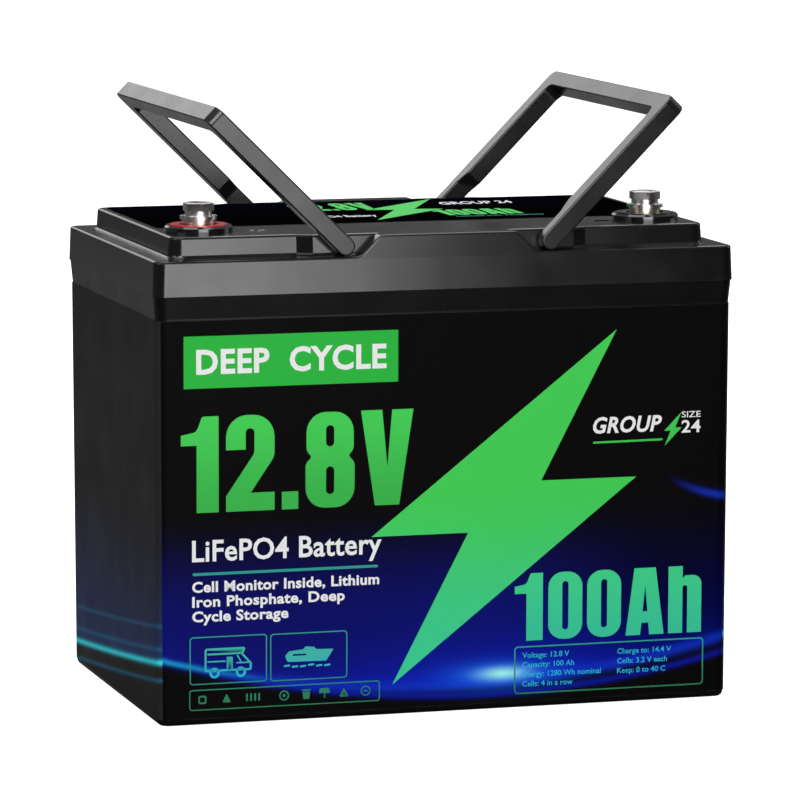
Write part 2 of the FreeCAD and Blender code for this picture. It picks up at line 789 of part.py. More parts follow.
# ------------------------------------------------------------------ cells
CELL_PLACES = [f"({step} * cell_pitch)" for step in (-1.5, -0.5, 0.5, 1.5)]
CELL_FOOT = "(floor_thick + floor_foam)"
CELL_TOP = "(floor_thick + floor_foam + cell_height)"
POST_TOP = f"({CELL_TOP} + post_height)"
STACK_HALF = "(1.5 * cell_pitch + cell_thick / 2)"


def make_cells():
    """Four flat cells side by side, with the parts that hold them together as a block."""
    for index, place in enumerate(CELL_PLACES):
        can = box("cell_thick", "cell_width", "cell_height", place, z=CELL_FOOT)
        doc.recompute()
        rounded = doc.addObject("Part::Fillet", "can")
        rounded.Base = can
        corner = number("cell_corner")
        rounded.Edges = [(number_of + 1, corner, corner)
                         for number_of, edge in enumerate(can.Shape.Edges)
                         if edge.BoundBox.ZLength > 1]
        keep(rounded, f"cell_{index + 1}")

    spacer_height = "(cell_height - 2 * plate_margin)"
    spacer_width = "(cell_width - 2 * plate_margin)"
    low = f"{CELL_FOOT} + plate_margin"
    spacers = [box("cell_pitch - cell_thick", spacer_width, spacer_height,
                   f"{step} * cell_pitch", z=low) for step in (-1, 0, 1)]
    keep(group(spacers), "cell_spacers")

    plate_x = f"({STACK_HALF} + end_plate_thick / 2)"
    keep(group(box("end_plate_thick", spacer_width, spacer_height, place, z=low)
               for place in (plate_x, f"-{plate_x}")), "end_plates")

    strap_length = f"2 * ({STACK_HALF} + end_plate_thick)"
    straps = []
    for height in ("strap_low", "strap_high"):
        ring_z = f"{CELL_FOOT} + {height}"
        outer = box(f"{strap_length} + 2 * strap_thick", "cell_width + 2 * strap_thick",
                    "strap_height", z=ring_z)
        inner = box(strap_length, "cell_width", "strap_height + 2", z=f"{ring_z} - 1")
        straps.append(cut(outer, inner))
    keep(group(straps), "compression_straps")

    keep(box("case_base_length - 2 * wall_thick - foam_margin", "cell_width + 2 * strap_thick",
             "floor_foam", z="floor_thick"), "foam_floor_pad")
    side_y = "(cell_width / 2 + strap_thick + foam_gap + side_foam / 2)"
    keep(group(box("side_foam_length", "side_foam", "cell_height - 2 * foam_margin", y=place,
                   z=f"{CELL_FOOT} + foam_margin") for place in (side_y, f"-{side_y}")),
         "foam_side_pads")
    end_x = f"({STACK_HALF} + end_plate_thick + strap_thick + foam_gap + end_foam / 2)"
    keep(group(box("end_foam", "end_foam_width", "cell_height - 2 * foam_margin", place,
                   z=f"{CELL_FOOT} + foam_margin") for place in (end_x, f"-{end_x}")),
         "foam_end_pads")


def make_cell_tops():
    """Posts, vents, cover sheet, series links and nuts on top of the cells."""
    posts = []
    nuts = []
    holes = []
    for place in CELL_PLACES:
        for side in ("post_out", "-post_out"):
            posts.append(fuse(
                cylinder("post_half", "post_height", place, side, CELL_TOP),
                cylinder("stud_half", "stud_height", place, side, CELL_TOP)))
            nut_z = f"{POST_TOP} + busbar_thick"
            nuts.append(cut(
                prism("cell_nut_flats", "cell_nut_height", place, side, nut_z),
                cylinder("stud_half", "cell_nut_height + 2", place, side, f"{nut_z} - 1")))
            holes.append(cylinder("post_half + sheet_margin", "sheet_thick + 2", place, side,
                                  f"{CELL_TOP} - 1"))
        holes.append(cylinder("vent_half + sheet_margin", "sheet_thick + 2", place, "0",
                              f"{CELL_TOP} - 1"))
    keep(group(posts), "cell_posts")
    keep(group(nuts), "cell_nuts")
    keep(group(cylinder("vent_half", "vent_height", place, "0", CELL_TOP)
               for place in CELL_PLACES), "cell_vents")
    keep(cut(box(f"2 * {STACK_HALF} - plate_margin", "cell_width - 2 * plate_margin",
                 "sheet_thick", z=CELL_TOP), *holes),
         "cell_cover_sheet")

    links = []
    for step, side in ((-1, "post_out"), (0, "-post_out"), (1, "post_out")):
        middle = f"({step} * cell_pitch)"
        plate = box("cell_pitch + 2 * busbar_half", "2 * busbar_half", "busbar_thick",
                    middle, side, POST_TOP)
        ends_x = [f"{middle} - cell_pitch / 2", f"{middle} + cell_pitch / 2"]
        links.append(cut(plate, *[cylinder("stud_hole", "busbar_thick + 2", x, side,
                                           f"{POST_TOP} - 1") for x in ends_x]))
    keep(group(links), "series_busbars")

    for name, place, outward in (("positive", CELL_PLACES[0], "-barrel_out"),
                                 ("negative", CELL_PLACES[3], "barrel_out")):
        plate = cylinder("lug_half", "lug_thick", place, "-post_out", POST_TOP)
        tab = box("barrel_out", "2 * barrel_half", "lug_thick", f"{place} + ({outward}) / 2",
                  "-post_out", POST_TOP)
        barrel = cylinder("barrel_half", "barrel_length", f"{place} + {outward}",
                          "-post_out", POST_TOP)
        hole = cylinder("stud_hole", "lug_thick + 2", place, "-post_out", f"{POST_TOP} - 1")
        keep(cut(fuse(plate, tab, barrel), hole), "cell_lug_" + name)


# ------------------------------------------------------------------ electronics
TRAY_FOOT = f"({CELL_TOP} + sheet_thick)"
TRAY_LOW = f"({CELL_TOP} + tray_lift)"
BOARD_LOW = f"({TRAY_LOW} + tray_thick + pillar_height)"
BOARD_TOP = f"({BOARD_LOW} + board_thick)"
SINK_LOW = f"({BOARD_TOP} + transistor_height)"
FOUR_CORNERS = [("screw_out", "screw_side"), ("-screw_out", "screw_side"),
                ("screw_out", "-screw_side"), ("-screw_out", "-screw_side")]


def make_electronics():
    """Battery management board on its tray, with transistors, heat sink, pads and screws."""
    parts = [box("tray_length", "tray_width", "tray_thick", z=TRAY_LOW)]
    for x, y in FOUR_CORNERS:
        parts.append(cylinder("tray_leg_half", f"{TRAY_LOW} - {TRAY_FOOT} + 1", x, y, TRAY_FOOT))
        parts.append(cylinder("pillar_half", "pillar_height + 1", x, y,
                              f"{TRAY_LOW} + tray_thick - 1"))
    screw_depth = "(pillar_height + tray_thick)"
    tray_holes = [cylinder("screw_half", f"{screw_depth} + 1", x, y,
                           f"{BOARD_LOW} - {screw_depth}") for x, y in FOUR_CORNERS]
    keep(cut(fuse(*parts), *tray_holes), "bms_tray")

    keep(cut(box("board_length", "board_width", "board_thick", z=BOARD_LOW),
             *[cylinder("screw_hole", "board_thick + 2", x, y, f"{BOARD_LOW} - 1")
               for x, y in FOUR_CORNERS]), "bms_board")
    keep(group(fuse(cylinder("screw_head_half", "screw_head_height", x, y, BOARD_TOP),
                    cylinder("screw_half", f"board_thick + {screw_depth}", x, y,
                             f"{BOARD_LOW} - {screw_depth}"))
               for x, y in FOUR_CORNERS), "bms_screws")

    keep(group(box("transistor_length", "transistor_width", "transistor_height",
                   f"{column} * transistor_pitch", side, BOARD_TOP)
               for column in (-2.5, -1.5, -0.5, 0.5, 1.5, 2.5)
               for side in ("transistor_side", "-transistor_side")), "bms_transistors")

    fins = [box("sink_length", "fin_thick", "fin_height + 1", "0", f"{step} * fin_pitch",
                f"{SINK_LOW} + sink_base - 1") for step in range(-3, 4)]
    keep(fuse(box("sink_length", "sink_width", "sink_base", z=SINK_LOW), *fins),
         "bms_heat_sink")

    pads = []
    for side in ("-pad_side", "pad_side"):
        foot = box("pad_length", "pad_width", "pad_height",
                   "board_length / 2 - pad_length / 2", side, BOARD_TOP)
        barrel = cylinder("barrel_half", "barrel_length + 1", "board_length / 2 - 1", side,
                          f"{BOARD_TOP} + pad_height / 2")
        barrel.Placement.Rotation = Rotation(Vector(0, 1, 0), 90)
        clear = box("3", "2 * barrel_half + 2", "2 * barrel_half", "board_length / 2 - 1.5",
                    side, f"{BOARD_TOP} - 2 * barrel_half")
        pads.append(cut(fuse(foot, barrel), clear))
    keep(group(pads), "bms_cable_lugs")

    keep(box("connector_length", "connector_width", "connector_height", "0",
             "-connector_side", BOARD_TOP), "balance_connector")


def make_cables():
    """Thick cables between cells, board and terminals, thin balance wires and the probe."""
    thick = number("cable_half")
    thin = number("wire_half")
    post_x = number("1.5 * cell_pitch")
    post_y = number("post_out")
    barrel_x = post_x + number("barrel_out")
    barrel_top = number(f"{POST_TOP} + barrel_length")
    lug_foot = number("top_height - lid_thick - terminal_boss_depth - gasket_thick"
                      " - insert_flange_thick - barrel_length")
    lug_y = number("terminal_front + terminal_barrel_out")
    pad_z = number(f"{BOARD_TOP} + pad_height / 2")
    pad_x = number("board_length / 2 + barrel_length")
    pad_y = number("pad_side")
    plus_x = number("positive_out")
    minus_x = number("negative_out")

    rise = number("cable_rise")
    drop = number("cable_drop")
    cable_z = pad_z + thick / 2
    routes = {
        "main_cable_positive": [
            (-barrel_x, -post_y, barrel_top), (-barrel_x, -post_y, barrel_top + rise),
            (plus_x, lug_y, lug_foot - drop), (plus_x, lug_y, lug_foot)],
        "main_cable_negative": [
            (pad_x, pad_y, pad_z), (minus_x, pad_y, pad_z),
            (minus_x, lug_y, pad_z + 10), (minus_x, lug_y, lug_foot)],
        "board_cable_negative": [
            (barrel_x, -post_y, barrel_top), (barrel_x, -post_y, cable_z),
            (barrel_x, -pad_y, pad_z), (pad_x, -pad_y, pad_z)],
    }
    for label, points in routes.items():
        cable = doc.addObject("Part::Feature", label)
        cable.Shape = tube(points, thick)
        keep(cable, label)

    top_z = number(f"{POST_TOP} + busbar_thick") + thin
    plug_y = -number("connector_side + connector_width / 2")
    plug_z = number(f"{BOARD_TOP} + connector_height / 2")
    edge_y = number("tray_width / 2") + 3
    side_x = number("tray_length / 2") + 3
    link_y = post_y - number("busbar_half") + 2
    pin = 2.6
    wires = [[(0, plug_y, plug_z), (0, -edge_y, plug_z), (0, -link_y, top_z)]]
    for lean in (-1, 1):
        wires.append([(lean * 2 * pin, plug_y, plug_z), (lean * 2 * pin, -edge_y, plug_z),
                      (lean * (side_x - 2), -edge_y, top_z + 14),
                      (lean * (post_x - 6.5), 3.5 - post_y, top_z)])
        link_x = lean * number("cell_pitch")
        wires.append([(lean * pin, plug_y, plug_z), (lean * pin, 2 - edge_y, plug_z),
                      (lean * side_x, 2 - edge_y, top_z + 9), (lean * side_x, 30, top_z + 7),
                      (link_x, link_y, top_z)])
    harness = doc.addObject("Part::Feature", "balance_wires")
    harness.Shape = Part.makeCompound([tube(points, thin, 4 * thin) for points in wires])
    keep(harness, "balance_wires")

    probe_z = number(f"{CELL_TOP} + sheet_thick")
    radius = number("probe_half")
    length = number("probe_length")
    bead = Part.makeCylinder(radius, length, Vector(0, 16, probe_z + radius), Vector(0, 1, 0))
    board_z = number(f"{BOARD_LOW} + board_thick / 2")
    board_y = number("board_width / 2")
    lead = tube([(0, 16 + length, probe_z + radius), (0, edge_y, probe_z + radius),
                 (0, edge_y, board_z), (0, board_y, board_z)], thin, 3 * thin)
    probe = doc.addObject("Part::Feature", "temperature_probe")
    probe.Shape = bead.fuse(lead)
    keep(probe, "temperature_probe")


# ------------------------------------------------------------------ build, check and write
make_case()
make_lid()
make_seal()
make_labels()
make_handle("handle_left", "-pivot_out", "180 - left_raise")
make_handle("handle_right", "pivot_out", "right_raise")
make_pivot_pins("pivot_pins_left", "-pivot_out")
make_pivot_pins("pivot_pins_right", "pivot_out")
make_terminal("positive", "positive_out", "positive_mark_out", True)
make_terminal("negative", "negative_out", "negative_mark_out", False)
make_cells()
make_cell_tops()
make_electronics()
make_cables()
doc.recompute()

for thing in doc.Objects:
    if {"Invalid", "Error"} & set(thing.State):
        raise RuntimeError(f"{thing.Label} is in state {thing.State}")
for label, thing in nodes.items():
    if thing.Shape.isNull() or not thing.Shape.isValid() or not thing.Shape.Solids:
        raise RuntimeError(f"{label} has no valid solid")

os.makedirs("parts", exist_ok=True)
for label, thing in nodes.items():
    thing.Shape.exportStep(os.path.join("parts", label + ".step"))
    print(f"{label}: {len(thing.Shape.Solids)} solid(s), {thing.Shape.Volume / 1000:.2f} cm3")
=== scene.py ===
# %% [markdown]
# # A deep cycle battery, finished for the eye
#
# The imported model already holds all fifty-eight pieces of the battery at their true size: the
# case, the lid, the two carry handles, the terminals, and the cells and electronics inside.
# What is left to do here is what a printer, a moulder and a plater do: give every piece the
# surface it really has, and print the label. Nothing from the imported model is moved.

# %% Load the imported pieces
import json
import math

import bmesh
import bpy
import numpy as np
from mathutils import Matrix, Vector


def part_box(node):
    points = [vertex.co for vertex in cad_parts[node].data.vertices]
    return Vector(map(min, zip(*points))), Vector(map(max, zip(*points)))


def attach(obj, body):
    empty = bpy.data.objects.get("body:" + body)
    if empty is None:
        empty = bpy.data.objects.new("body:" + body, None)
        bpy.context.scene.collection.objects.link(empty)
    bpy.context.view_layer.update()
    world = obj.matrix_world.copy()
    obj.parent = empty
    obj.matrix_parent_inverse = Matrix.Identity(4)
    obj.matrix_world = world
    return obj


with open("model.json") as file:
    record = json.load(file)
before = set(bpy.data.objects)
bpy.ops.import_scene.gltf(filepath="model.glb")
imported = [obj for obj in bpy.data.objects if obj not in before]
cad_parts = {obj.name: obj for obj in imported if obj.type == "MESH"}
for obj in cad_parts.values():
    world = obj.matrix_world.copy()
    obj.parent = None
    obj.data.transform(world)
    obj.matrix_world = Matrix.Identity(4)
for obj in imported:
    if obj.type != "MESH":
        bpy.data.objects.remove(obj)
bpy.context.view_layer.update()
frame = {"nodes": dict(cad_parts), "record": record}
nodes = frame["nodes"]
MM = 0.001

# %% [markdown]
# # Camera
#
# The battery is seen a little from its left and a little from above, with a long lens. A long
# lens keeps the case's upright edges nearly parallel, as product pictures do. The direction is
# two angles round a point in the middle of the case, and the camera stands back along it.

# %% Place the camera
VIEW_AZIMUTH = math.radians(-16.607)
VIEW_ELEVATION = math.radians(7.464)
VIEW_ROLL = math.radians(0.072)
VIEW_DISTANCE = 2.3244
VIEW_TARGET = Vector((0.01157, 0.0, 0.1276))


def camera_axes(azimuth, elevation, roll):
    """Right, up and backward of a camera on a globe round its target.

    Backward is (sin a cos e, -cos a cos e, sin e) for the azimuth a and the elevation e. Right lies
    level, up is square to both, and roll turns right and up about the view.
    """
    right = Vector((math.cos(azimuth), math.sin(azimuth), 0))
    back = Vector((math.sin(azimuth) * math.cos(elevation),
                   -math.cos(azimuth) * math.cos(elevation),
                   math.sin(elevation)))
    up = back.cross(right)
    turned_right = right * math.cos(roll) + up * math.sin(roll)
    turned_up = up * math.cos(roll) - right * math.sin(roll)
    return turned_right, turned_up, back


right, up, back = camera_axes(VIEW_AZIMUTH, VIEW_ELEVATION, VIEW_ROLL)
lens = bpy.data.cameras.new("camera")
lens.sensor_width = 36
lens.lens = 234.4
lens.shift_x = -0.0246
lens.shift_y = -0.0049
lens.clip_end = 100
camera = bpy.data.objects.new("camera", lens)
camera.matrix_world = Matrix((right, up, back)).transposed().to_4x4()
camera.location = VIEW_TARGET + back * VIEW_DISTANCE
bpy.context.scene.collection.objects.link(camera)
bpy.context.scene.camera = camera
print("camera at", [round(value, 3) for value in camera.location])

# %% [markdown]
# # Node helpers
#
# Materials are long to write when every link is spelled out. A few short helpers say the same in
# one line each: put a number or a link into a socket, add a node, do a sum, mix two colours, and
# make or place a node group.

# %% Small helpers for shader nodes


def put(tree, value, socket):
    """A socket is linked, and a plain number, vector or colour is set."""
    if isinstance(value, bpy.types.NodeSocket):
        tree.links.new(value, socket)
    elif isinstance(value, (tuple, list)) and len(value) == 3 and socket.type == "RGBA":
        socket.default_value = (*value, 1.0)
    else:
        socket.default_value = value


def add(tree, kind, inputs=(), **settings):
    """A node with its settings, and the given inputs put in by name or number."""
    node = tree.nodes.new("ShaderNode" + kind)
    for name, value in settings.items():
        setattr(node, name, value)
    for name, value in dict(inputs).items():
        put(tree, value, node.inputs[name])
    return node


def sum_of(tree, operation, *values, clamp=False):
    """One Math node: the operation on one, two or three values."""
    node = add(tree, "Math", dict(enumerate(values)), operation=operation, use_clamp=clamp)
    return node.outputs[0]


def ramp_of(tree, value, low, high):
    """Nought at low, one at high, and an S-shaped rise between them."""
    node = add(tree, "MapRange", {"Value": value, "From Min": low, "From Max": high},
               interpolation_type="SMOOTHSTEP")
    return node.outputs["Result"]


def blend_of(tree, factor, first, second):
    """One colour mixed into another by a factor."""
    node = add(tree, "Mix", data_type="RGBA")
    for value, place in ((factor, 0), (first, 6), (second, 7)):
        put(tree, value, node.inputs[place])
    return node.outputs[2]


def object_place(tree):
    """Where the surface point is on its piece, in metres, as three numbers and as one vector."""
    place = add(tree, "TexCoord").outputs["Object"]
    split = add(tree, "SeparateXYZ", {0: place})
    return place, split.outputs


def new_group(name, inputs, outputs):
    """An empty group with named sockets: inputs are (name, kind, value), outputs (name, kind)."""
    group = bpy.data.node_groups.new(name, "ShaderNodeTree")
    sockets = group.interface
    for title, kind, value in inputs:
        socket = sockets.new_socket(title, in_out="INPUT", socket_type="NodeSocket" + kind)
        socket.default_value = value
    for title, kind in outputs:
        sockets.new_socket(title, in_out="OUTPUT", socket_type="NodeSocket" + kind)
    start = group.nodes.new("NodeGroupInput").outputs
    end = group.nodes.new("NodeGroupOutput").inputs
    return group, start, end


def use_group(tree, group, **inputs):
    """The group placed in a material; an input's name is written with _ for each space."""
    node = tree.nodes.new("ShaderNodeGroup")
    node.node_tree = group
    for name, value in inputs.items():
        put(tree, value, node.inputs[name.replace("_", " ")])
    return node.outputs


print("helpers ready")

# %% [markdown]
# # Moulded grain
#
# A steel mould for a battery case is spark-eroded, which leaves a fine dull grain, and the
# plastic takes it over. Up close it is little domes of about a third of a millimetre, with a
# slower waviness where the plastic shrank. It could be modelled, but at this size bump is
# enough, because the outline of the case doesn't show it.

# %% The grain group
grain_group, start, end = new_group(
    "moulded grain",
    [("Grain Size", "Float", 0.35 * MM), ("Waviness", "Float", 0.08)],
    [("Height", "Float"), ("Tone", "Float")])
place, _ = object_place(grain_group)
per_metre = sum_of(grain_group, "DIVIDE", 1.0, start["Grain Size"])
pits = add(grain_group, "TexVoronoi", {"Vector": place, "Scale": per_metre}, feature="SMOOTH_F1")
fine = add(grain_group, "TexNoise", {"Vector": place, "Scale": per_metre, "Detail": 3.0})
slow = add(grain_group, "TexNoise", {"Vector": place, "Scale": 38.0, "Detail": 2.0})
domes = sum_of(grain_group, "MULTIPLY_ADD", pits.outputs["Distance"], -0.6, fine.outputs["Fac"])
waves = sum_of(grain_group, "MULTIPLY", slow.outputs["Fac"], start["Waviness"])
put(grain_group, sum_of(grain_group, "ADD", domes, waves), end["Height"])
put(grain_group, slow.outputs["Fac"], end["Tone"])
print("group:", grain_group.name)

# %% [markdown]
# # Worn edges
# Corners of a plastic case are handled most. They are polished a little, and dust rubs into
# them, so a sharp edge reads lighter than the face beside it. The lighter edge is also a painted
# highlight, standing for the light that a rounded edge catches. A Bevel node gives the normal
# that a rounded edge would have. Where that differs from the true normal there is an edge, and a
# slow noise breaks the line up, because no edge wears evenly.

# %% The edge group
edge_group, start, end = new_group(
    "worn edge",
    [("Radius", "Float", 0.6 * MM), ("Strength", "Float", 1.0)],
    [("Mask", "Float")])
rounded_normal = add(edge_group, "Bevel", {"Radius": start["Radius"]}, samples=6).outputs[0]
true_normal = add(edge_group, "NewGeometry").outputs["Normal"]
likeness = add(edge_group, "VectorMath", {0: rounded_normal, 1: true_normal},
               operation="DOT_PRODUCT")
turned = sum_of(edge_group, "SUBTRACT", 1.0, likeness.outputs["Value"])
place, _ = object_place(edge_group)
patches = add(edge_group, "TexNoise", {"Vector": place, "Scale": 120.0, "Detail": 4.0})
uneven = ramp_of(edge_group, patches.outputs["Fac"], 0.3, 0.75)
# The mask drives a lighter edge colour that is partly wear and partly painted highlight.
sharp = ramp_of(edge_group, turned, 0.01, 0.2)
edge_mask = sum_of(edge_group, "MULTIPLY", sharp, start["Strength"])
put(edge_group, sum_of(edge_group, "MULTIPLY", edge_mask, uneven, clamp=True), end["Mask"])
print("group:", edge_group.name)

# %% [markdown]
# # Tool marks
#
# Rolled, turned and milled metal keeps fine parallel lines from the tool. Noise that is
# squeezed in one direction and stretched in the others gives such lines, so the group takes
# the three stretch factors as one vector.

# %% The tool mark group
marks_group, start, end = new_group(
    "tool marks",
    [("Lines Per Metre", "Vector", (4000.0, 60.0, 60.0))],
    [("Height", "Float"), ("Tone", "Float")])
place, _ = object_place(marks_group)
stretched = add(marks_group, "VectorMath", {0: place, 1: start["Lines Per Metre"]},
                operation="MULTIPLY")
lines = add(marks_group, "TexNoise", {"Vector": stretched.outputs[0], "Scale": 1.0, "Detail": 4.0})
cloud = add(marks_group, "TexNoise", {"Vector": place, "Scale": 150.0, "Detail": 2.0})
put(marks_group, lines.outputs["Fac"], end["Height"])
put(marks_group, cloud.outputs["Fac"], end["Tone"])
print("group:", marks_group.name)

# %% [markdown]
# # Height fade
#
# The print on the label changes colour with height: black to blue in the ground, leaf green to
# sea green in the lettering. One group gives the share of the second colour, nought at one
# height and one at another, and each material chooses its own two heights and colours.

# %% The fade group
fade_group, start, end = new_group(
    "height fade",
    [("Low", "Float", 0.0), ("High", "Float", 0.1)],
    [("Share", "Float")])
_, parts = object_place(fade_group)
put(fade_group, ramp_of(fade_group, parts["Z"], start["Low"], start["High"]), end["Share"])
print("group:", fade_group.name)

# %% [markdown]
# # Light ribbons
#
# Thin curves of light are printed along the lower label. Each is a parabola that sags like a
# rope: its height is the lowest height, plus the curve times the square of the distance from the
# lowest place. How far a point is over that line, divided by a width, goes into a bell curve for
# the bright core, and the side above the line keeps a soft glow.

# %% The ribbon group
ribbon_group, start, end = new_group(
    "light ribbon",
    [("Along", "Float", 0.0), ("Low Height", "Float", 0.01), ("Low Place", "Float", 0.0),
     ("Curve", "Float", 1.0), ("Width", "Float", 0.002), ("Glow Height", "Float", 0.01)],
    [("Core", "Float"), ("Glow", "Float"), ("Above", "Float")])
_, parts = object_place(ribbon_group)
from_low = sum_of(ribbon_group, "SUBTRACT", start["Along"], start["Low Place"])
from_low_squared = sum_of(ribbon_group, "MULTIPLY", from_low, from_low)
rise = sum_of(ribbon_group, "MULTIPLY", from_low_squared, start["Curve"])
centre = sum_of(ribbon_group, "ADD", rise, start["Low Height"])
over = sum_of(ribbon_group, "SUBTRACT", parts["Z"], centre)
steps = sum_of(ribbon_group, "DIVIDE", over, start["Width"])
minus_squared = sum_of(ribbon_group, "MULTIPLY", sum_of(ribbon_group, "MULTIPLY", steps, steps), -1.0)
above = ramp_of(ribbon_group, steps, -1.0, 1.0)
falling = sum_of(ribbon_group, "DIVIDE", sum_of(ribbon_group, "ABSOLUTE", over), start["Glow Height"])
glow = sum_of(ribbon_group, "EXPONENT", sum_of(ribbon_group, "MULTIPLY", falling, -1.0))
put(ribbon_group, sum_of(ribbon_group, "EXPONENT", minus_squared), end["Core"])
put(ribbon_group, sum_of(ribbon_group, "MULTIPLY", glow, above), end["Glow"])
put(ribbon_group, above, end["Above"])
print("group:", ribbon_group.name)

# %% [markdown]
# # Materials
#
# Every finish starts from one Principled shader. Numbers that are the same all over, such as
# the specular level, are set on it, and what varies comes from the groups: the grain or the tool
# marks through a Bump node, and the tone into colour and roughness.

# %% One finished material
finishes = {}


def new_finish(name, roughness, metallic=0.0, specular=0.5, coat=0.0, coat_roughness=0.1):
    """An empty material with its Principled shader, and the constants set on the shader itself."""
    material = bpy.data.materials.new(name)
    material.use_nodes = True
    tree = material.node_tree
    shader = tree.nodes["Principled BSDF"]
    shader.inputs["Metallic"].default_value = metallic
    shader.inputs["Roughness"].default_value = roughness
    shader.inputs["Specular IOR Level"].default_value = specular
    shader.inputs["Coat Weight"].default_value = coat
    shader.inputs["Coat Roughness"].default_value = coat_roughness
    finishes[name] = material
    return tree, shader


def roughen(tree, shader, height, strength, depth):
    """A bump of the given depth in metres feeds the shader's normal."""
    bump = add(tree, "Bump", {"Height": height, "Strength": strength, "Distance": depth})
    put(tree, bump.outputs[0], shader.inputs["Normal"])


def vary(tree, shader, tone, middle, spread):
    """Roughness goes from middle - spread to middle + spread with the tone."""
    node = add(tree, "MapRange", {"Value": tone, "From Min": 0.3, "From Max": 0.7,
                                  "To Min": middle - spread, "To Max": middle + spread})
    put(tree, node.outputs["Result"], shader.inputs["Roughness"])


def moulded(name, colour, roughness, grain=0.35, depth=0.03, painted_highlight_and_wear=0.5, specular=0.5, coat=0.0):
    """Moulded plastic or rubber: grain in mm, depth of the grain in mm, and edges lightened by wear
    and by painted highlight.
    """
    tree, shader = new_finish(name, roughness, specular=specular, coat=coat)
    height, tone = use_group(tree, grain_group, Grain_Size=grain * MM)
    edge = use_group(tree, edge_group, Strength=painted_highlight_and_wear)["Mask"]
    # Edges get a lighter colour: partly wear, partly a painted highlight.
    lighter = tuple(min(1.0, 2.2 * part + 0.012) for part in colour)
    darker = tuple(0.75 * part for part in colour)
    ground = blend_of(tree, tone, darker, colour)
    put(tree, blend_of(tree, edge, ground, lighter), shader.inputs["Base Color"])
    vary(tree, shader, tone, roughness, 0.03)
    roughen(tree, shader, height, 0.35, depth * MM)


def metal(name, colour, roughness, lines, depth=0.01):
    """Bare or plated metal with tool marks: lines per metre along X, Y and Z, depth in mm."""
    tree, shader = new_finish(name, roughness, metallic=1.0)
    height, tone = use_group(tree, marks_group, Lines_Per_Metre=lines)
    edge = use_group(tree, edge_group, Radius=0.25 * MM, Strength=0.6)["Mask"]
    duller = tuple(0.8 * part for part in colour)
    # Edges get a brighter colour: partly wear, partly a painted glint.
    brighter = tuple(min(1.0, 1.15 * part) for part in colour)
    ground = blend_of(tree, tone, duller, colour)
    put(tree, blend_of(tree, edge, ground, brighter), shader.inputs["Base Color"])
    vary(tree, shader, tone, roughness, 0.35 * roughness)
    roughen(tree, shader, height, 0.3, depth * MM)


print("material makers ready")

# %% [markdown]
# # Plastics, rubbers and metals of every slot
#
# The record names a slot for each piece. The outside has three charcoal plastics: the case, the
# lid, and the handles, whose mould is smoother. Inside there are bright metals, foam, film and
# board. The numbers beside each are its colour, roughness and grain.

# %% Plastics and rubbers
moulded("case_plastic", (0.004, 0.004, 0.0043), 0.28, grain=0.4, depth=0.015, painted_highlight_and_wear=0.6,
        specular=0.15)
moulded("lid_plastic", (0.0045, 0.0045, 0.0048), 0.19, grain=0.3, depth=0.005, painted_highlight_and_wear=1.0)
moulded("handle_plastic", (0.007, 0.007, 0.0073), 0.24, grain=0.35, depth=0.010, painted_highlight_and_wear=1.0)
moulded("seal_rubber", (0.012, 0.012, 0.012), 0.7, grain=0.2)
moulded("collar_plastic", (0.006, 0.006, 0.006), 0.14, grain=0.5, depth=0.006, painted_highlight_and_wear=0.3, coat=0.5)
moulded("ring_red", (0.68, 0.02, 0.055), 0.25, grain=0.4, depth=0.01, painted_highlight_and_wear=0.1, coat=0.3)
moulded("ring_black", (0.010, 0.010, 0.010), 0.22, grain=0.4, depth=0.01, painted_highlight_and_wear=0.3, coat=0.3)
moulded("cell_film", (0.01, 0.09, 0.36), 0.2, grain=2.5, depth=0.05, painted_highlight_and_wear=0.2, coat=0.4)
moulded("glass_laminate", (0.42, 0.47, 0.20), 0.45, grain=0.6, depth=0.05, painted_highlight_and_wear=0.2)
moulded("foam", (0.05, 0.05, 0.055), 0.95, grain=0.9, depth=0.3, painted_highlight_and_wear=0.1)
moulded("tray_plastic", (0.02, 0.02, 0.02), 0.5, grain=0.3)
moulded("board_green", (0.008, 0.11, 0.035), 0.3, grain=1.4, depth=0.02, painted_highlight_and_wear=0.4, coat=0.2)
moulded("chip_black", (0.012, 0.012, 0.012), 0.55, grain=0.12, depth=0.01, painted_highlight_and_wear=0.3)
moulded("connector_white", (0.75, 0.73, 0.66), 0.4, grain=0.3, depth=0.01, painted_highlight_and_wear=0.1)
moulded("cable_red", (0.48, 0.012, 0.012), 0.5, grain=0.5, depth=0.02, painted_highlight_and_wear=0.0)
moulded("cable_black", (0.012, 0.012, 0.012), 0.5, grain=0.5, depth=0.02, painted_highlight_and_wear=0.0)
print(len(finishes), "plastics and rubbers")

# %% Metals
# The slight pink in plated_steel's colour is a painted reflection, laid on plain silver steel.
metal("plated_steel", (0.86, 0.81, 0.81), 0.27, lines=(300.0, 300.0, 2500.0), depth=0.004)
metal("brass", (0.80, 0.72, 0.60), 0.3, lines=(2500.0, 2500.0, 200.0), depth=0.01)
metal("pin_steel", (0.60, 0.60, 0.62), 0.25, lines=(3000.0, 100.0, 3000.0))
metal("bare_aluminium", (0.80, 0.81, 0.82), 0.35, lines=(80.0, 3000.0, 80.0), depth=0.02)
metal("tinned_copper", (0.74, 0.71, 0.66), 0.3, lines=(60.0, 2500.0, 2500.0))
metal("strap_steel", (0.52, 0.53, 0.55), 0.32, lines=(60.0, 60.0, 3500.0), depth=0.02)
print(len(finishes), "finishes")

# %% [markdown]
# # The label film
#
# One printed film goes round the case like a sleeve. Its ground is black, turns deep blue in
# the lower half, and ribbons of light sweep along the foot of it. On the short sides the ground
# is painted a lighter grey and a greyer blue than the film has, as painted reflection of the
# light grazing the ends. On the long sides the ribbons hang in a shallow bowl with a flare of
# light beside the middle. On the short sides they fall away from the front corner. The back
# repeats the front, so the shader measures along the back with X turned round.

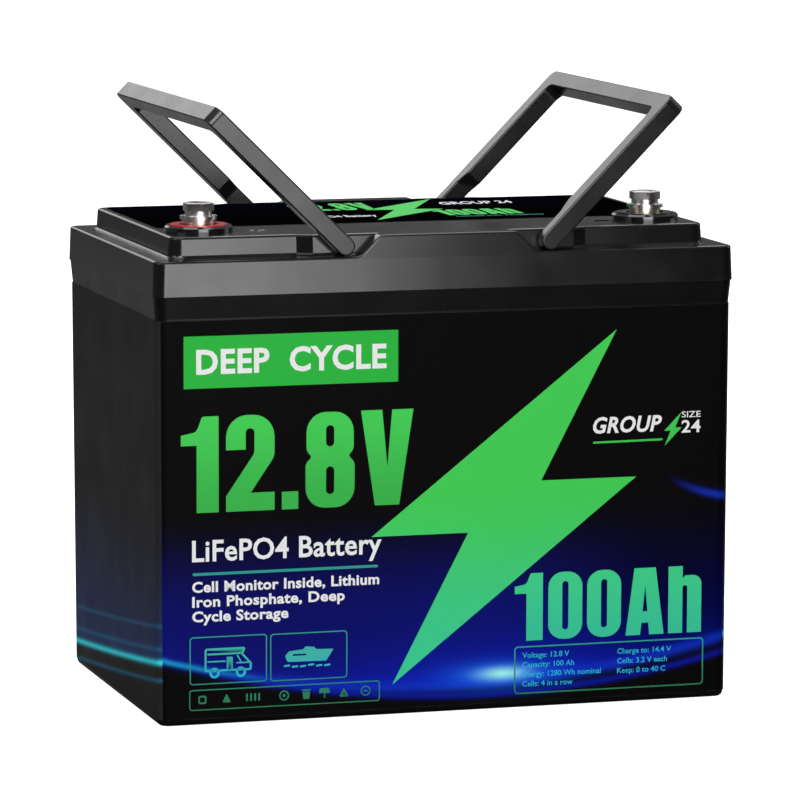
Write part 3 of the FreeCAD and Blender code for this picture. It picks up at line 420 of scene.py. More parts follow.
# %% The film's places, measured from its own mesh
SAME_HEIGHT = 1e-6


def points_of(mesh):
    """All the mesh's points as one array of rows."""
    points = np.empty(len(mesh.vertices) * 3)
    mesh.vertices.foreach_get("co", points)
    return points.reshape(-1, 3)


def rim(node, lowest):
    """Height and half width in metres of a sleeve's lowest or highest rim."""
    points = points_of(nodes[node].data)
    heights = points[:, 2]
    level = heights.min() if lowest else heights.max()
    at_rim = points[np.abs(heights - level) < SAME_HEIGHT]
    return level, np.abs(at_rim[:, 1]).max()


film_foot, foot_y = rim("wrap_label", True)
film_head, head_y = rim("wrap_label", False)
print("film from", round(film_foot / MM, 1), "to", round(film_head / MM, 1), "mm")
print("half widths:", round(foot_y / MM, 2), "at the foot,", round(head_y / MM, 2), "at the head")

# %% The film's material
BLACK = (0.0032, 0.0026, 0.0028)
DEEP_BLUE = (0.0042, 0.0052, 0.125)
# The two end colours below are lighter and greyer than the film: painted reflection of light grazing
# the ends.
END_BLUE_WITH_PAINTED_SHEEN = (0.024, 0.036, 0.105)
END_PAINTED_SHEEN_GREY = (0.0215, 0.0215, 0.0222)
ROYAL_BLUE = (0.004, 0.022, 0.80)
RIBBON_BLUE = (0.006, 0.035, 0.62)
STRAY_BLUE = (0.006, 0.03, 0.42)
THREAD_TEAL = (0.01, 0.30, 0.60)
HALO_BLUE = (0.01, 0.16, 1.0)
SIDE_GLOW = (0.008, 0.10, 0.30)
SIDE_THREAD = (0.02, 0.24, 0.42)
CYAN = (0.05, 0.85, 1.00)
FLARE = (0.36, 1.0, 1.0)
# Lighter grey at the film's edges: partly scuffing, partly a painted highlight.
SCUFFED_AND_PAINTED_HIGHLIGHT = (0.06, 0.06, 0.062)
NO_LIGHT = (0.0, 0.0, 0.0)
FILM_ROUGHNESS = 0.45
MAIN_BOWL = {"low_height": 11.5, "low_place": 2.0, "curve": 10.4}
SIDE_SWEEP = {"low_place": 600.0, "curve": 1.03}


def ribbon(tree, along, low_height, low_place, curve, width, glow=10.0):
    """A ribbon with sizes in mm; curve is the rise in mm at 100 mm from the lowest place."""
    return use_group(tree, ribbon_group, Along=along, Low_Height=low_height * MM,
                     Low_Place=low_place * MM, Curve=curve * MM / 0.01,
                     Width=width * MM, Glow_Height=glow * MM)


def bell(tree, value, middle, width):
    """One at the middle, falling off as exp(-((value - middle) / width) ** 2)."""
    steps = sum_of(tree, "DIVIDE", sum_of(tree, "SUBTRACT", value, middle * MM), width * MM)
    squared = sum_of(tree, "MULTIPLY", steps, steps)
    return sum_of(tree, "EXPONENT", sum_of(tree, "MULTIPLY", squared, -1.0))


def blend_by(tree, mask, strength, ground, colour):
    """The colour laid over the ground where the mask is, at a strength that is a number or a mask."""
    return blend_of(tree, sum_of(tree, "MULTIPLY", mask, strength), ground, colour)


def speckled(tree, place, scale, strength, colour):
    """The colour darkened a little by fine noise, as a printing screen leaves it."""
    noise = add(tree, "TexNoise", {"Vector": place, "Scale": scale, "Detail": 2.0})
    return blend_by(tree, noise.outputs["Fac"], strength, colour, NO_LIGHT)


def wavy_film(tree, shader):
    """The slow waves of a thin film that is stuck on, in its roughness and its bump."""
    height, tone = use_group(tree, grain_group, Grain_Size=2.2 * MM, Waviness=2.0)
    vary(tree, shader, tone, FILM_ROUGHNESS, 0.05)
    roughen(tree, shader, height, 0.08, 0.03 * MM)


def long_side_colour(tree, along, height):
    """Ground, ribbons and flare of the front and the back."""
    depth = use_group(tree, fade_group, Low=44 * MM, High=90 * MM)["Share"]
    main = ribbon(tree, along, width=2.4, glow=12.0, **MAIN_BOWL)
    thread = ribbon(tree, along, width=1.1, **MAIN_BOWL)
    under = ribbon(tree, along, low_height=7.0, low_place=15.0, curve=11.0, width=1.4, glow=3.0)
    right_end = ramp_of(tree, along, 20 * MM, 105 * MM)
    dim_ground = blend_of(tree, right_end, DEEP_BLUE, tuple(0.22 * part for part in DEEP_BLUE))
    ground = blend_of(tree, depth, dim_ground, BLACK)
    ground = blend_of(tree, main["Above"], BLACK, ground)
    middle = bell(tree, along, 20.0, 62.0)
    spread = sum_of(tree, "MULTIPLY", main["Glow"], sum_of(tree, "MULTIPLY_ADD", middle, 0.75, 0.12))
    lit = blend_of(tree, spread, ground, ROYAL_BLUE)
    inner = ramp_of(tree, along, -125 * MM, -60 * MM)
    core = sum_of(tree, "MULTIPLY", main["Core"], sum_of(tree, "MULTIPLY_ADD", inner, 0.60, 0.12))
    lit = blend_of(tree, core, lit, RIBBON_BLUE)
    lit = blend_by(tree, under["Core"], 0.35, lit, ROYAL_BLUE)
    near_left = sum_of(tree, "SUBTRACT", 1.0, ramp_of(tree, along, -128 * MM, -70 * MM))
    lit = blend_by(tree, thread["Core"], near_left, lit, THREAD_TEAL)
    stray = ribbon(tree, along, low_height=89.5, low_place=134.0, curve=85.0, width=1.6)
    far_right = ramp_of(tree, along, 99 * MM, 122 * MM)
    lit = blend_by(tree, stray["Core"], far_right, lit, STRAY_BLUE)
    halo = sum_of(tree, "MULTIPLY", bell(tree, along, 24.0, 21.0), bell(tree, height, 15.6, 5.0))
    lit = blend_by(tree, halo, 0.85, lit, HALO_BLUE)
    return blend_by(tree, bell(tree, along, 25.0, 9.5), bell(tree, height, 15.8, 2.5), lit, FLARE)


def short_side_colour(tree, along):
    """Ground and ribbons of the two ends, where along is counted from the front corner."""
    depth = use_group(tree, fade_group, Low=14 * MM, High=92 * MM)["Share"]
    main = ribbon(tree, along, low_height=-8.8, width=1.2, glow=5.0, **SIDE_SWEEP)
    # The ends' ground is lighter and greyer than the black film: painted reflection.
    ground = blend_of(tree, depth, END_BLUE_WITH_PAINTED_SHEEN, END_PAINTED_SHEEN_GREY)
    ground = blend_of(tree, main["Above"], END_PAINTED_SHEEN_GREY, ground)
    lit = blend_by(tree, main["Glow"], 0.40, ground, SIDE_GLOW)
    for low_height, strength in ((6.9, 0.25), (-3.0, 0.30), (-16.6, 0.40)):
        thin = ribbon(tree, along, low_height, width=1.0, **SIDE_SWEEP)
        lit = blend_by(tree, thin["Core"], strength, lit, SIDE_THREAD)
    return blend_by(tree, main["Core"], 0.95, lit, CYAN)


def make_label_film():
    """The sleeve's material. Its normal says which face a point is on, and its place the colour."""
    tree, shader = new_finish("label_film", FILM_ROUGHNESS, specular=0.03)
    place, parts = object_place(tree)
    facing = add(tree, "SeparateXYZ", {0: add(tree, "NewGeometry").outputs["True Normal"]}).outputs
    is_end = sum_of(tree, "GREATER_THAN", sum_of(tree, "ABSOLUTE", facing["X"]), 0.7)
    turned = sum_of(tree, "SIGN", sum_of(tree, "MULTIPLY", parts["Y"], -1.0))
    along = sum_of(tree, "MULTIPLY", parts["X"], turned)
    from_corner = sum_of(tree, "ADD", parts["Y"], head_y)
    long_colour = long_side_colour(tree, along, parts["Z"])
    end_colour = short_side_colour(tree, from_corner)
    printed = blend_of(tree, is_end, long_colour, end_colour)
    printed = speckled(tree, place, 900.0, 0.12, printed)
    # The film's edges get a lighter grey: partly scuffing, partly a painted highlight.
    wear_and_painted_highlight = use_group(tree, edge_group, Strength=0.5)["Mask"]
    put(tree, blend_of(tree, wear_and_painted_highlight, printed, SCUFFED_AND_PAINTED_HIGHLIGHT), shader.inputs["Base Color"])
    wavy_film(tree, shader)


make_label_film()
print("label film ready")

# %% [markdown]
# # Printing inks
#
# The artwork is printed on the film in white and in greens. The banner and the top label have a
# flat green. The bolt, the rating and the line work fade into a second colour further down. Each
# ink lies a few hundredths of a millimetre proud of the film and has a slight speckle from the
# printing screen.

# %% Inks
INK_ROUGHNESS = 0.36


def ink(name, upper, lower=None, low=0.0, high=0.1):
    """A printed ink. With a lower colour it fades between the heights low and high, in metres."""
    tree, shader = new_finish(name, INK_ROUGHNESS, specular=0.08)
    place, _ = object_place(tree)
    colour = upper
    if lower is not None:
        share = use_group(tree, fade_group, Low=low, High=high)["Share"]
        colour = blend_of(tree, share, lower, upper)
    put(tree, speckled(tree, place, 2600.0, 0.10, colour), shader.inputs["Base Color"])
    height, tone = use_group(tree, grain_group, Grain_Size=0.25 * MM)
    vary(tree, shader, tone, INK_ROUGHNESS, 0.05)
    roughen(tree, shader, height, 0.06, 0.01 * MM)


LEAF_GREEN = (0.062, 0.66, 0.100)
GRASS_GREEN = (0.045, 0.48, 0.075)
SEA_GREEN = (0.050, 0.66, 0.32)
ink("ink_white", (0.90, 0.90, 0.90))
ink("ink_banner", (0.024, 0.49, 0.052))
ink("ink_voltage", LEAF_GREEN, GRASS_GREEN, low=92 * MM, high=134 * MM)
ink("ink_bolt", LEAF_GREEN, SEA_GREEN, low=18 * MM, high=100 * MM)
ink("ink_capacity", (0.056, 0.68, 0.28), (0.045, 0.60, 0.35), low=29 * MM, high=60 * MM)
ink("ink_lines", (0.035, 0.34, 0.30), (0.03, 0.22, 0.10), low=6 * MM, high=30 * MM)
ink("ink_icons", (0.06, 0.50, 0.42), (0.03, 0.50, 0.75), low=20 * MM, high=30 * MM)
ink("ink_top", (0.06, 0.62, 0.10))
print("inks:", [name for name in finishes if name.startswith("ink")])

# %% [markdown]
# # Outlines with round corners
#
# All the artwork is flat shapes with some round corners. A shape is a list of corners, each
# with a radius, and a corner with a radius becomes an arc tangent to both of its sides.
# A closed line of a given thickness is the same shape twice, the second one moved inwards.

# %% Outline helpers
ARC_STEPS = 7


def corner_frame(points):
    """Unit vectors from each corner to the ones before and after it, and half the angle between."""
    before = np.roll(points, 1, axis=0) - points
    after = np.roll(points, -1, axis=0) - points
    before /= np.linalg.norm(before, axis=1, keepdims=True)
    after /= np.linalg.norm(after, axis=1, keepdims=True)
    half = 0.5 * np.arccos(np.clip((before * after).sum(axis=1), -1.0, 1.0))
    return before, after, half


def rounded(*corners):
    """A closed outline through (x, y) or (x, y, radius) corners.

    A corner with radius r gives way to points centre + r (cos a, sin a). The centre lies on the
    line that halves the corner, r / sin(half angle) away, and a runs between the two tangents.
    """
    points = np.array([corner[:2] for corner in corners], float)
    radii = np.array([corner[2] if len(corner) > 2 else 0.0 for corner in corners])
    before, after, half = corner_frame(points)
    outline = []
    for point, radius, one, other, angle in zip(points, radii, before, after, half):
        if radius == 0:
            outline.append(point[None, :])
            continue
        middle = one + other
        centre = point + middle / np.linalg.norm(middle) * radius / math.sin(angle)
        first = point + one * radius / math.tan(angle) - centre
        last = point + other * radius / math.tan(angle) - centre
        begin = math.atan2(first[1], first[0])
        sweep = math.atan2(first[0] * last[1] - first[1] * last[0], first @ last)
        angles = begin + sweep * np.linspace(0.0, 1.0, ARC_STEPS)
        outline.append(centre + radius * np.stack([np.cos(angles), np.sin(angles)], axis=1))
    return np.concatenate(outline)


def plate(left, low, right, high, radius=0.0):
    """A rectangle with equal round corners."""
    return rounded((left, low, radius), (right, low, radius),
                   (right, high, radius), (left, high, radius))


def disc(x, y, radius, steps=28):
    """A circle: (x, y) + radius (cos a, sin a)."""
    angles = np.linspace(0.0, 2 * math.pi, steps, endpoint=False)
    return np.array([x, y]) + radius * np.stack([np.cos(angles), np.sin(angles)], axis=1)


def ring(outline, width):
    """The outline, and the same outline moved inwards by width.

    A point moves width / sin(half angle) along the line that halves its corner. The sign of the
    outline's area says on which hand inwards is.
    """
    before, after, half = corner_frame(outline)
    following = np.roll(outline, -1, axis=0)
    area = np.sum(outline[:, 0] * following[:, 1] - following[:, 0] * outline[:, 1])
    along = after - before
    normal = np.stack([-along[:, 1], along[:, 0]], axis=1)
    normal /= np.linalg.norm(normal, axis=1, keepdims=True)
    inwards = normal * np.sign(area)
    return [outline, outline + inwards * (width / np.sin(half))[:, None]]


def bar(x0, y0, x1, y1, width):
    """A straight stroke with round ends, from one point to another."""
    start_point, end_point = np.array([x0, y0]), np.array([x1, y1])
    along = (end_point - start_point) / np.linalg.norm(end_point - start_point)
    across = np.array([-along[1], along[0]]) * width / 2
    ends = [start_point - across, end_point - across, end_point + across, start_point + across]
    return rounded(*[(*point, 0.499 * width) for point in ends])


print("a rounded plate has", len(plate(0, 0, 2, 1, 0.2)), "points")

# %% [markdown]
# # Heavy figures
#
# The rating is set in a tall, narrow, heavy face. Such a figure is a block with round corners
# and a slot cut in it, so each is drawn here as outlines in a box one unit high. That keeps the
# strokes as thick as they should be, which stretching a thin typeface wouldn't.

# %% Figures and letters one unit high


def heavy_figures():
    """Outlines and width of each heavy figure or letter, in units of its height."""
    slot = [plate(0.205, 0.14, 0.295, 0.86, 0.044)]
    return {
        "1": (0.42, [rounded((0.17, 0), (0.41, 0), (0.41, 1), (0.23, 1, 0.03), (0.17, 0.84, 0.08),
                             (0, 0.81), (0, 0.70), (0.17, 0.70))]),
        "2": (0.54, [rounded((0, 0), (0.53, 0), (0.53, 0.19), (0.27, 0.19), (0.53, 0.56, 0.16),
                             (0.53, 1, 0.23), (0, 1, 0.23), (0, 0.64), (0.215, 0.64),
                             (0.215, 0.86, 0.045), (0.31, 0.86, 0.045), (0.31, 0.60, 0.1),
                             (0, 0.16))]),
        ".": (0.19, [plate(0, 0, 0.18, 0.185)]),
        "8": (0.54, [rounded((0, 0, 0.21), (0.54, 0, 0.21), (0.54, 0.47, 0.1), (0.47, 0.535, 0.03),
                             (0.53, 0.60, 0.1), (0.53, 1, 0.21), (0.01, 1, 0.21), (0.01, 0.60, 0.1),
                             (0.07, 0.535, 0.03), (0, 0.47, 0.1)),
                     plate(0.225, 0.14, 0.315, 0.43, 0.044), plate(0.225, 0.64, 0.315, 0.86, 0.044)]),
        "0": (0.50, [plate(0, 0, 0.50, 1, 0.22)] + slot),
        "V": (0.58, [rounded((0.155, 0), (0.425, 0), (0.58, 1), (0.345, 1), (0.293, 0.40),
                             (0.235, 1), (0, 1))]),
        "A": (0.56, [rounded((0, 0), (0.215, 0), (0.235, 0.18), (0.335, 0.18), (0.35, 0), (0.565, 0),
                             (0.44, 1), (0.125, 1)),
                     rounded((0.25, 0.35), (0.322, 0.35), (0.286, 0.74))]),
        "h": (0.50, [rounded((0, 0), (0.21, 0), (0.21, 0.71, 0.033), (0.28, 0.71, 0.033),
                             (0.28, 0), (0.49, 0), (0.49, 0.86, 0.13), (0.245, 0.86, 0.05),
                             (0.21, 0.81), (0.21, 1), (0, 1))]),
    }


FIGURES = heavy_figures()
FIGURE_GAP = 0.07


def figure_line(letters):
    """The outlines of a word in heavy figures, set side by side."""
    outlines, x = [], 0.0
    for letter in letters:
        width, shapes = FIGURES[letter]
        outlines += [shape + np.array([x, 0.0]) for shape in shapes]
        x += width + FIGURE_GAP
    return outlines


print("figures drawn:", "".join(FIGURES))

# %% [markdown]
# # From outlines to printed pieces
#
# A flat Blender curve fills its outlines and leaves a hole wherever one lies inside another.
# Made a mesh, it is scaled to the rectangle it has on the label. Then it is given a thickness and
# laid on one of the faces, as a closed little slab of ink. A face is a matrix whose columns are
# right, up and out of it. The film leans a little outwards, so up leans too.

# %% Slabs of ink on the faces
INK_THICKNESS = 0.05 * MM
SAME_POINT = 1e-7


def flat_curve(outlines):
    """A filled flat curve with one closed straight-sided spline for each outline."""
    curve = bpy.data.curves.new("outline", "CURVE")
    curve.dimensions = "2D"
    curve.fill_mode = "BOTH"
    for outline in outlines:
        spline = curve.splines.new("POLY")
        spline.points.add(len(outline) - 1)
        flat = np.zeros((len(outline), 4))
        flat[:, :2] = outline
        flat[:, 3] = 1.0
        spline.points.foreach_set("co", flat.ravel())
        spline.use_cyclic_u = True
    return curve


def text_curve(words, weight=0.0, slant=0.0):
    """Blender's own plain typeface, made heavier by weight and slanted by slant."""
    curve = bpy.data.curves.new("words", "FONT")
    curve.body = words
    curve.offset = weight
    curve.shear = slant
    curve.resolution_u = 3
    curve.space_character = 1.0 + 2 * weight
    return curve


def mesh_of(curve):
    """The curve's filled mesh, with the curve and its object removed again."""
    holder = bpy.data.objects.new("holder", curve)
    bpy.context.scene.collection.objects.link(holder)
    bpy.context.view_layer.update()
    evaluated = holder.evaluated_get(bpy.context.evaluated_depsgraph_get())
    mesh = bpy.data.meshes.new_from_object(evaluated)
    bpy.data.objects.remove(holder)
    bpy.data.curves.remove(curve)
    return mesh


def thicken(mesh, thickness):
    """The flat faces become the top of a slab whose foot is at height nought."""
    work = bmesh.new()
    work.from_mesh(mesh)
    bmesh.ops.remove_doubles(work, verts=work.verts, dist=SAME_POINT)
    bmesh.ops.dissolve_degenerate(work, edges=work.edges, dist=SAME_POINT)
    raised = bmesh.ops.extrude_face_region(work, geom=work.faces[:])["geom"]
    top = [item for item in raised if isinstance(item, bmesh.types.BMVert)]
    bmesh.ops.translate(work, verts=top, vec=(0, 0, thickness))
    bmesh.ops.recalc_face_normals(work, faces=work.faces[:])
    for face in work.faces:
        face.smooth = False
    work.to_mesh(mesh)
    work.free()


def fit(mesh, left, low, right, high):
    """Moves and scales the flat mesh into a rectangle in mm."""
    points = points_of(mesh)
    least, most = points.min(axis=0), points.max(axis=0)
    scale_x = (right - left) * MM / (most[0] - least[0])
    scale_y = (high - low) * MM / (most[1] - least[1])
    points[:, 0] = left * MM + (points[:, 0] - least[0]) * scale_x
    points[:, 1] = low * MM + (points[:, 1] - least[1]) * scale_y
    mesh.vertices.foreach_set("co", points.ravel())
    return mesh


def wall_face(quarter_turns, half):
    """The matrix of an upright face of the film, made by whole quarter turns about Z of the front.

    Half holds the film's half widths at its foot and its head. The front leans outwards by the
    arc tangent of their difference over the film's height, and its origin is at height nought.
    """
    lean = math.atan2(half[1] - half[0], film_head - film_foot)
    out = Vector((0.0, -math.cos(lean), -math.sin(lean)))
    up_face = Vector((0.0, -math.sin(lean), math.cos(lean)))
    face = Matrix((Vector((1, 0, 0)), up_face, out)).transposed().to_4x4()
    face.translation = Vector((0.0, -half[0], film_foot)) - up_face * film_foot / math.cos(lean)
    return Matrix.Rotation(quarter_turns * math.pi / 2, 4, "Z") @ face


top_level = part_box("top_label")[1].z
FACES = {
    "front": wall_face(0, (foot_y, head_y)),
    "back": wall_face(2, (foot_y, head_y)),
    "top": Matrix.Translation((0, 0, top_level)),
}
printed_pieces = []


def print_piece(name, meshes, ink_name, face, layer=0):
    """Joins flat meshes into one slab of ink on a face. Layer 1 lies on top of layer 0."""
    work = bmesh.new()
    for mesh in meshes:
        work.from_mesh(mesh)
        bpy.data.meshes.remove(mesh)
    joined = bpy.data.meshes.new(name)
    work.to_mesh(joined)
    work.free()
    thicken(joined, INK_THICKNESS)
    joined.transform(FACES[face] @ Matrix.Translation((0, 0, layer * INK_THICKNESS)))
    joined.materials.clear()
    joined.materials.append(finishes[ink_name])
    piece = bpy.data.objects.new(name, joined)
    bpy.context.scene.collection.objects.link(piece)
    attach(piece, "battery")
    printed_pieces.append(piece)


def shapes(outlines, *rectangle):
    """A flat mesh from outlines, fitted to a rectangle if one is given, or else taken as mm."""
    mesh = mesh_of(flat_curve(outlines))
    if rectangle:
        return fit(mesh, *rectangle)
    mesh.transform(Matrix.Scale(MM, 4))
    return mesh


CAPITAL = points_of(mesh_of(text_curve("H")))[:, 1].max()


def words(text, left, baseline, right, height, weight=0.0, slant=0.0):
    """A flat mesh of lettering in mm, with capitals of the given height.

    It is stretched to end at right, or keeps its own width where right is None.
    """
    mesh = mesh_of(text_curve(text, weight, slant))
    points = points_of(mesh)
    least, most = points[:, 0].min(), points[:, 0].max()
    scale_y = height * MM / CAPITAL
    scale_x = scale_y if right is None else (right - left) * MM / (most - least)
    points[:, 0] = left * MM + (points[:, 0] - least) * scale_x
    points[:, 1] = baseline * MM + points[:, 1] * scale_y
    mesh.vertices.foreach_set("co", points.ravel())
    return mesh


print("faces:", list(FACES))

# %% [markdown]
# # The big bolt
#
# A lightning bolt is two slanted wedges that overlap in the middle: the upper one comes down to
# the left, the lower one runs out to a point. Six corners are all it needs.

# %% The bolt


def bolt_outline(tip, foot, shoulder, waist):
    """A bolt from tip to foot, with the shoulder as its left corner and the waist beside that.

    Its right side is the left one turned half round the middle between tip and foot, so each
    point p of the left gives tip + foot - p.
    """
    left = np.array([tip, shoulder, waist], float)
    return np.concatenate([left, left[0] + np.array(foot, float) - left])


def draw_bolts(face):
    """The big bolt of a long side, and the small one beside the size words."""
    big = bolt_outline((76.0, 165.0), (-25.0, 13.5), (-34.5, 78.5), (9.0, 78.5))
    print_piece(f"{face}_bolt", [shapes([big])], "ink_bolt", face)
    small = bolt_outline((106.0, 127.5), (98.5, 113.0), (98.2, 119.6), (101.2, 119.6))
    print_piece(f"{face}_small_bolt", [shapes([small])], "ink_voltage", face)


print("bolt corners:", len(bolt_outline((1, 2), (0, 0), (0, 1), (0.4, 1))))

# %% [markdown]
# # Lettering of the long sides
#
# All words are plain ones that say what the thing is. The rectangle of each is its place on the
# face: right of the middle, above the foot, in millimetres.

# %% Words and figures


def draw_lettering(face):
    """Banner, rating, kind of battery, and size of one long side."""
    banner = [shapes([plate(-117.5, 145.6, -22.8, 168.0)])]
    print_piece(f"{face}_banner", banner, "ink_banner", face)
    print_piece(f"{face}_banner_words", [words("DEEP  CYCLE", -112.0, 152.0, -28.0, 9.8, 0.03)],
                "ink_white", face, layer=1)
    print_piece(f"{face}_voltage", [shapes(figure_line("12.8V"), -118.8, 92.2, -15.9, 133.6)],
                "ink_voltage", face)
    print_piece(f"{face}_capacity", [shapes(figure_line("100Ah"), 30.3, 29.7, 116.2, 59.4)],
                "ink_capacity", face, layer=1)
    white = [words("LiFePO4 Battery", -114.0, 71.3, -30.0, 8.8, 0.018)]
    lines = (("Cell Monitor Inside, Lithium", 58.0, -31.0), ("Iron Phosphate, Deep", 51.6, -46.4),
             ("Cycle Storage", 45.2, -71.5))
    for text, low, end_of_line in lines:
        white.append(words(text, -114.0, low, end_of_line, 4.3, 0.03))
    white.append(words("GROUP", 65.5, 119.8, 97.0, 6.6, 0.028, 0.22))
    white.append(words("24", 106.2, 118.6, 115.0, 5.2, 0.02))
    white.append(words("SIZE", 106.2, 125.2, 115.0, 2.6, 0.01))
    print_piece(f"{face}_white_words", white, "ink_white", face)
    underline = [shapes([bar(65.5, 115.6, 97.5, 115.9, 0.9)])]
    print_piece(f"{face}_underline", underline, "ink_voltage", face)


print("lettering ready")

# %% [markdown]
# # Pictograms and boxes
#
# Below the words stand a camper and a boat in thin round-cornered boxes, a strip of handling
# signs, and a box of ratings. A pictogram is a few rings and strokes less than a millimetre wide,
# and each is drawn at the origin and then moved to its place.

# %% Line work


def moved_to(x, y, drawing):
    """The flat meshes of a drawing's parts, with its origin moved to x, y on the face."""
    return [shapes([outline + np.array([x, y]) for outline in part]) for part in drawing]


def camper():
    """A camper van seen from its side, drawn from its rear lower corner."""
    body = rounded((0, 3, 0.8), (0, 13.2, 1.2), (18.4, 13.2, 0.8), (17.0, 10.4, 0.6),
                   (20.8, 6.2, 0.8), (20.8, 3, 0.8))
    drawing = [ring(body, 0.85), ring(plate(9.8, 3.4, 12.4, 9.2, 0.3), 0.55)]
    for stroke in ((1.2, 10.6, 16.6, 10.6, 0.8), (1.2, 7.4, 9.4, 7.4, 0.6),
                   (14.4, 9.8, 16.4, 6.4, 0.6), (14.0, 6.4, 19.8, 6.4, 0.6)):
        drawing.append([bar(*stroke)])
    for wheel in (4.4, 16.0):
        drawing.append([disc(wheel, 2.4, 2.3), disc(wheel, 2.4, 1.2)])
    return drawing


def boat():
    """A motor boat on short waves, drawn from the stern's lower corner."""
    hull = rounded((1.0, 3.4, 1.0), (0, 6.0, 0.6), (1.8, 8.0, 0.8), (8.0, 8.6), (9.2, 9.8, 0.4),
                   (13.0, 9.4, 0.4), (14.0, 8.4), (21.6, 8.2, 0.3), (18.4, 3.2, 1.0))
    drawing = [[hull, plate(3.4, 5.9, 9.4, 6.7, 0.3)]]
    for step in np.arange(0.0, 20.0, 3.6):
        level = 1.1 if step % 5 > 2 else 1.6
        drawing.append([bar(step - 0.6, level, step + 2.2, level + 0.3, 0.8)])
    return drawing


def signs():
    """Eight plain handling signs in a row, each about 4 mm wide, drawn from the first one's left."""
    box = [plate(0, 1.0, 3.6, 4.6, 0.9), plate(0.7, 1.7, 2.9, 3.9, 0.4)]
    wedge = [rounded((12.5, 5.0), (10.6, 1.2, 0.4), (14.4, 1.2, 0.4))]
    stripes = [[bar(step, 1.2, step, 4.6, 0.8)] for step in (21.5, 23.3, 25.1, 26.9)]
    target = [[disc(38.0, 2.8, 2.2), disc(38.0, 2.8, 1.6)], [disc(38.0, 2.8, 0.7, 12)]]
    bin_body = [rounded((46.6, 0.8, 0.3), (46.2, 4.0), (49.6, 4.0), (49.2, 0.8, 0.3))]
    bin_cover = [bar(45.9, 4.7, 49.9, 4.7, 0.6)]
    umbrella = [rounded((53.6, 3.0), (53.8, 5.2, 1.0), (58.2, 5.2, 1.0), (58.4, 3.0))]
    umbrella_stick = [bar(56.0, 0.8, 56.0, 3.0, 0.5)]
    caution = ring(rounded((62.6, 1.0, 0.4), (66.8, 1.0, 0.4), (64.7, 4.9, 0.4)), 0.7)
    minus = [[disc(74.4, 3.0, 2.2), disc(74.4, 3.0, 1.7)], [bar(73.4, 3.0, 75.4, 3.0, 0.6)]]
    return [box, wedge, *stripes, *target, bin_body, bin_cover, umbrella, umbrella_stick,
            caution, *minus]


RATINGS = (
    (("Voltage: 12.8 V", 22.1), ("Capacity: 100 Ah", 17.9), ("Energy: 1280 Wh nominal", 13.7),
     ("Cells: 4 in a row", 9.5)),
    (("Charge to: 14.4 V", 21.8), ("Cells: 3.2 V each", 17.5), ("Keep: 0 to 40 C", 13.2)),
)


def draw_line_work(face):
    """Boxes, pictograms, signs and the rating box of one long side."""
    boxes = [ring(plate(-115.2, 17.8, -81.0, 38.6, 1.6), 0.5),
             ring(plate(-79.6, 17.6, -45.2, 38.4, 1.6), 0.5),
             ring(plate(-115.4, 6.6, -30.6, 15.7, 1.2), 0.5),
             ring(plate(30.2, 6.2, 117.4, 27.3, 1.8), 0.6),
             [bar(-113.8, 65.7, -31.6, 65.8, 1.2)]]
    print_piece(f"{face}_boxes", [shapes(box) for box in boxes], "ink_lines", face)
    pictograms = moved_to(-108.6, 20.2, camper()) + moved_to(-73.0, 22.4, boat())
    print_piece(f"{face}_pictograms", pictograms, "ink_icons", face)
    print_piece(f"{face}_signs", moved_to(-111.4, 8.4, signs()), "ink_lines", face)
    rating = []
    for column, left in zip(RATINGS, (34.0, 77.5)):
        rating += [words(text, left, low, None, 2.3, 0.012) for text, low in column]
    print_piece(f"{face}_rating_words", rating, "ink_icons", face)


for long_side in ("front", "back"):
    draw_bolts(long_side)
    draw_lettering(long_side)
    draw_line_work(long_side)
print(len(printed_pieces), "printed pieces on the long sides")

# %% [markdown]
# # The top label
#
# The sheet on the lid repeats the bolt, the rating and the kind of battery between and behind the
# handles. It is a dull black with a trace of blue towards the back. It is read from the terminal
# side, so its up is the battery's back.

# %% Print on the top label
TOP_BLACK = (0.0010, 0.0010, 0.0011)
TOP_BLUE = (0.0012, 0.0014, 0.004)


def make_top_ground():
    """The top label's film: plain black with a blue cast towards its back edge."""
    tree, shader = new_finish("top_film", FILM_ROUGHNESS, specular=0.0)
    place, parts = object_place(tree)
    share = ramp_of(tree, parts["Y"], 0.0, 70 * MM)
    ground = blend_of(tree, share, TOP_BLACK, TOP_BLUE)
    put(tree, speckled(tree, place, 900.0, 0.2, ground), shader.inputs["Base Color"])
    wavy_film(tree, shader)


make_top_ground()
low_corner, high_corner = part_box("top_label")
print("sheet from", round(low_corner.y / MM, 1), "to", round(high_corner.y / MM, 1), "mm")
print_piece("top_voltage", [shapes(figure_line("12.8V"), -36.0, 25.0, 0.5, 57.0)], "ink_top", "top")
print_piece("top_words", [words("LiFePO4 Battery", -42.0, -6.0, -9.5, 7.6, 0.016),
                          words("GROUP 24", 34.0, 39.0, 68.0, 11.0, 0.022, 0.2)], "ink_white", "top")
print_piece("top_capacity", [shapes(figure_line("100Ah"), 20.0, -10.0, 57.0, 15.0)], "ink_top", "top")
print_piece("top_small_words", [words("Lithium Iron Phosphate", 24.0, -17.5, 64.0, 3.4, 0.01)],
            "ink_lines", "top")
top_bolt = bolt_outline((36.0, 66.0), (-14.6, -23.0), (-7.0, 23.0), (6.0, 21.0))
print_piece("top_bolt", [shapes([top_bolt])], "ink_top", "top")
print(len(printed_pieces), "printed pieces in all")

# %% [markdown]
# # Every piece gets its finish
#
# The record says which slot each piece takes its finish from, so a loop over it is enough. Only
# the top label has a film of its own.

# %% Give the finishes out
for subpart in frame["record"]["subparts"]:
    node = nodes[subpart["node"]]
    finish_name = "top_film" if subpart["node"] == "top_label" else subpart["material_slot"]
    for place_on_piece in node.material_slots:
        place_on_piece.material = finishes[finish_name]

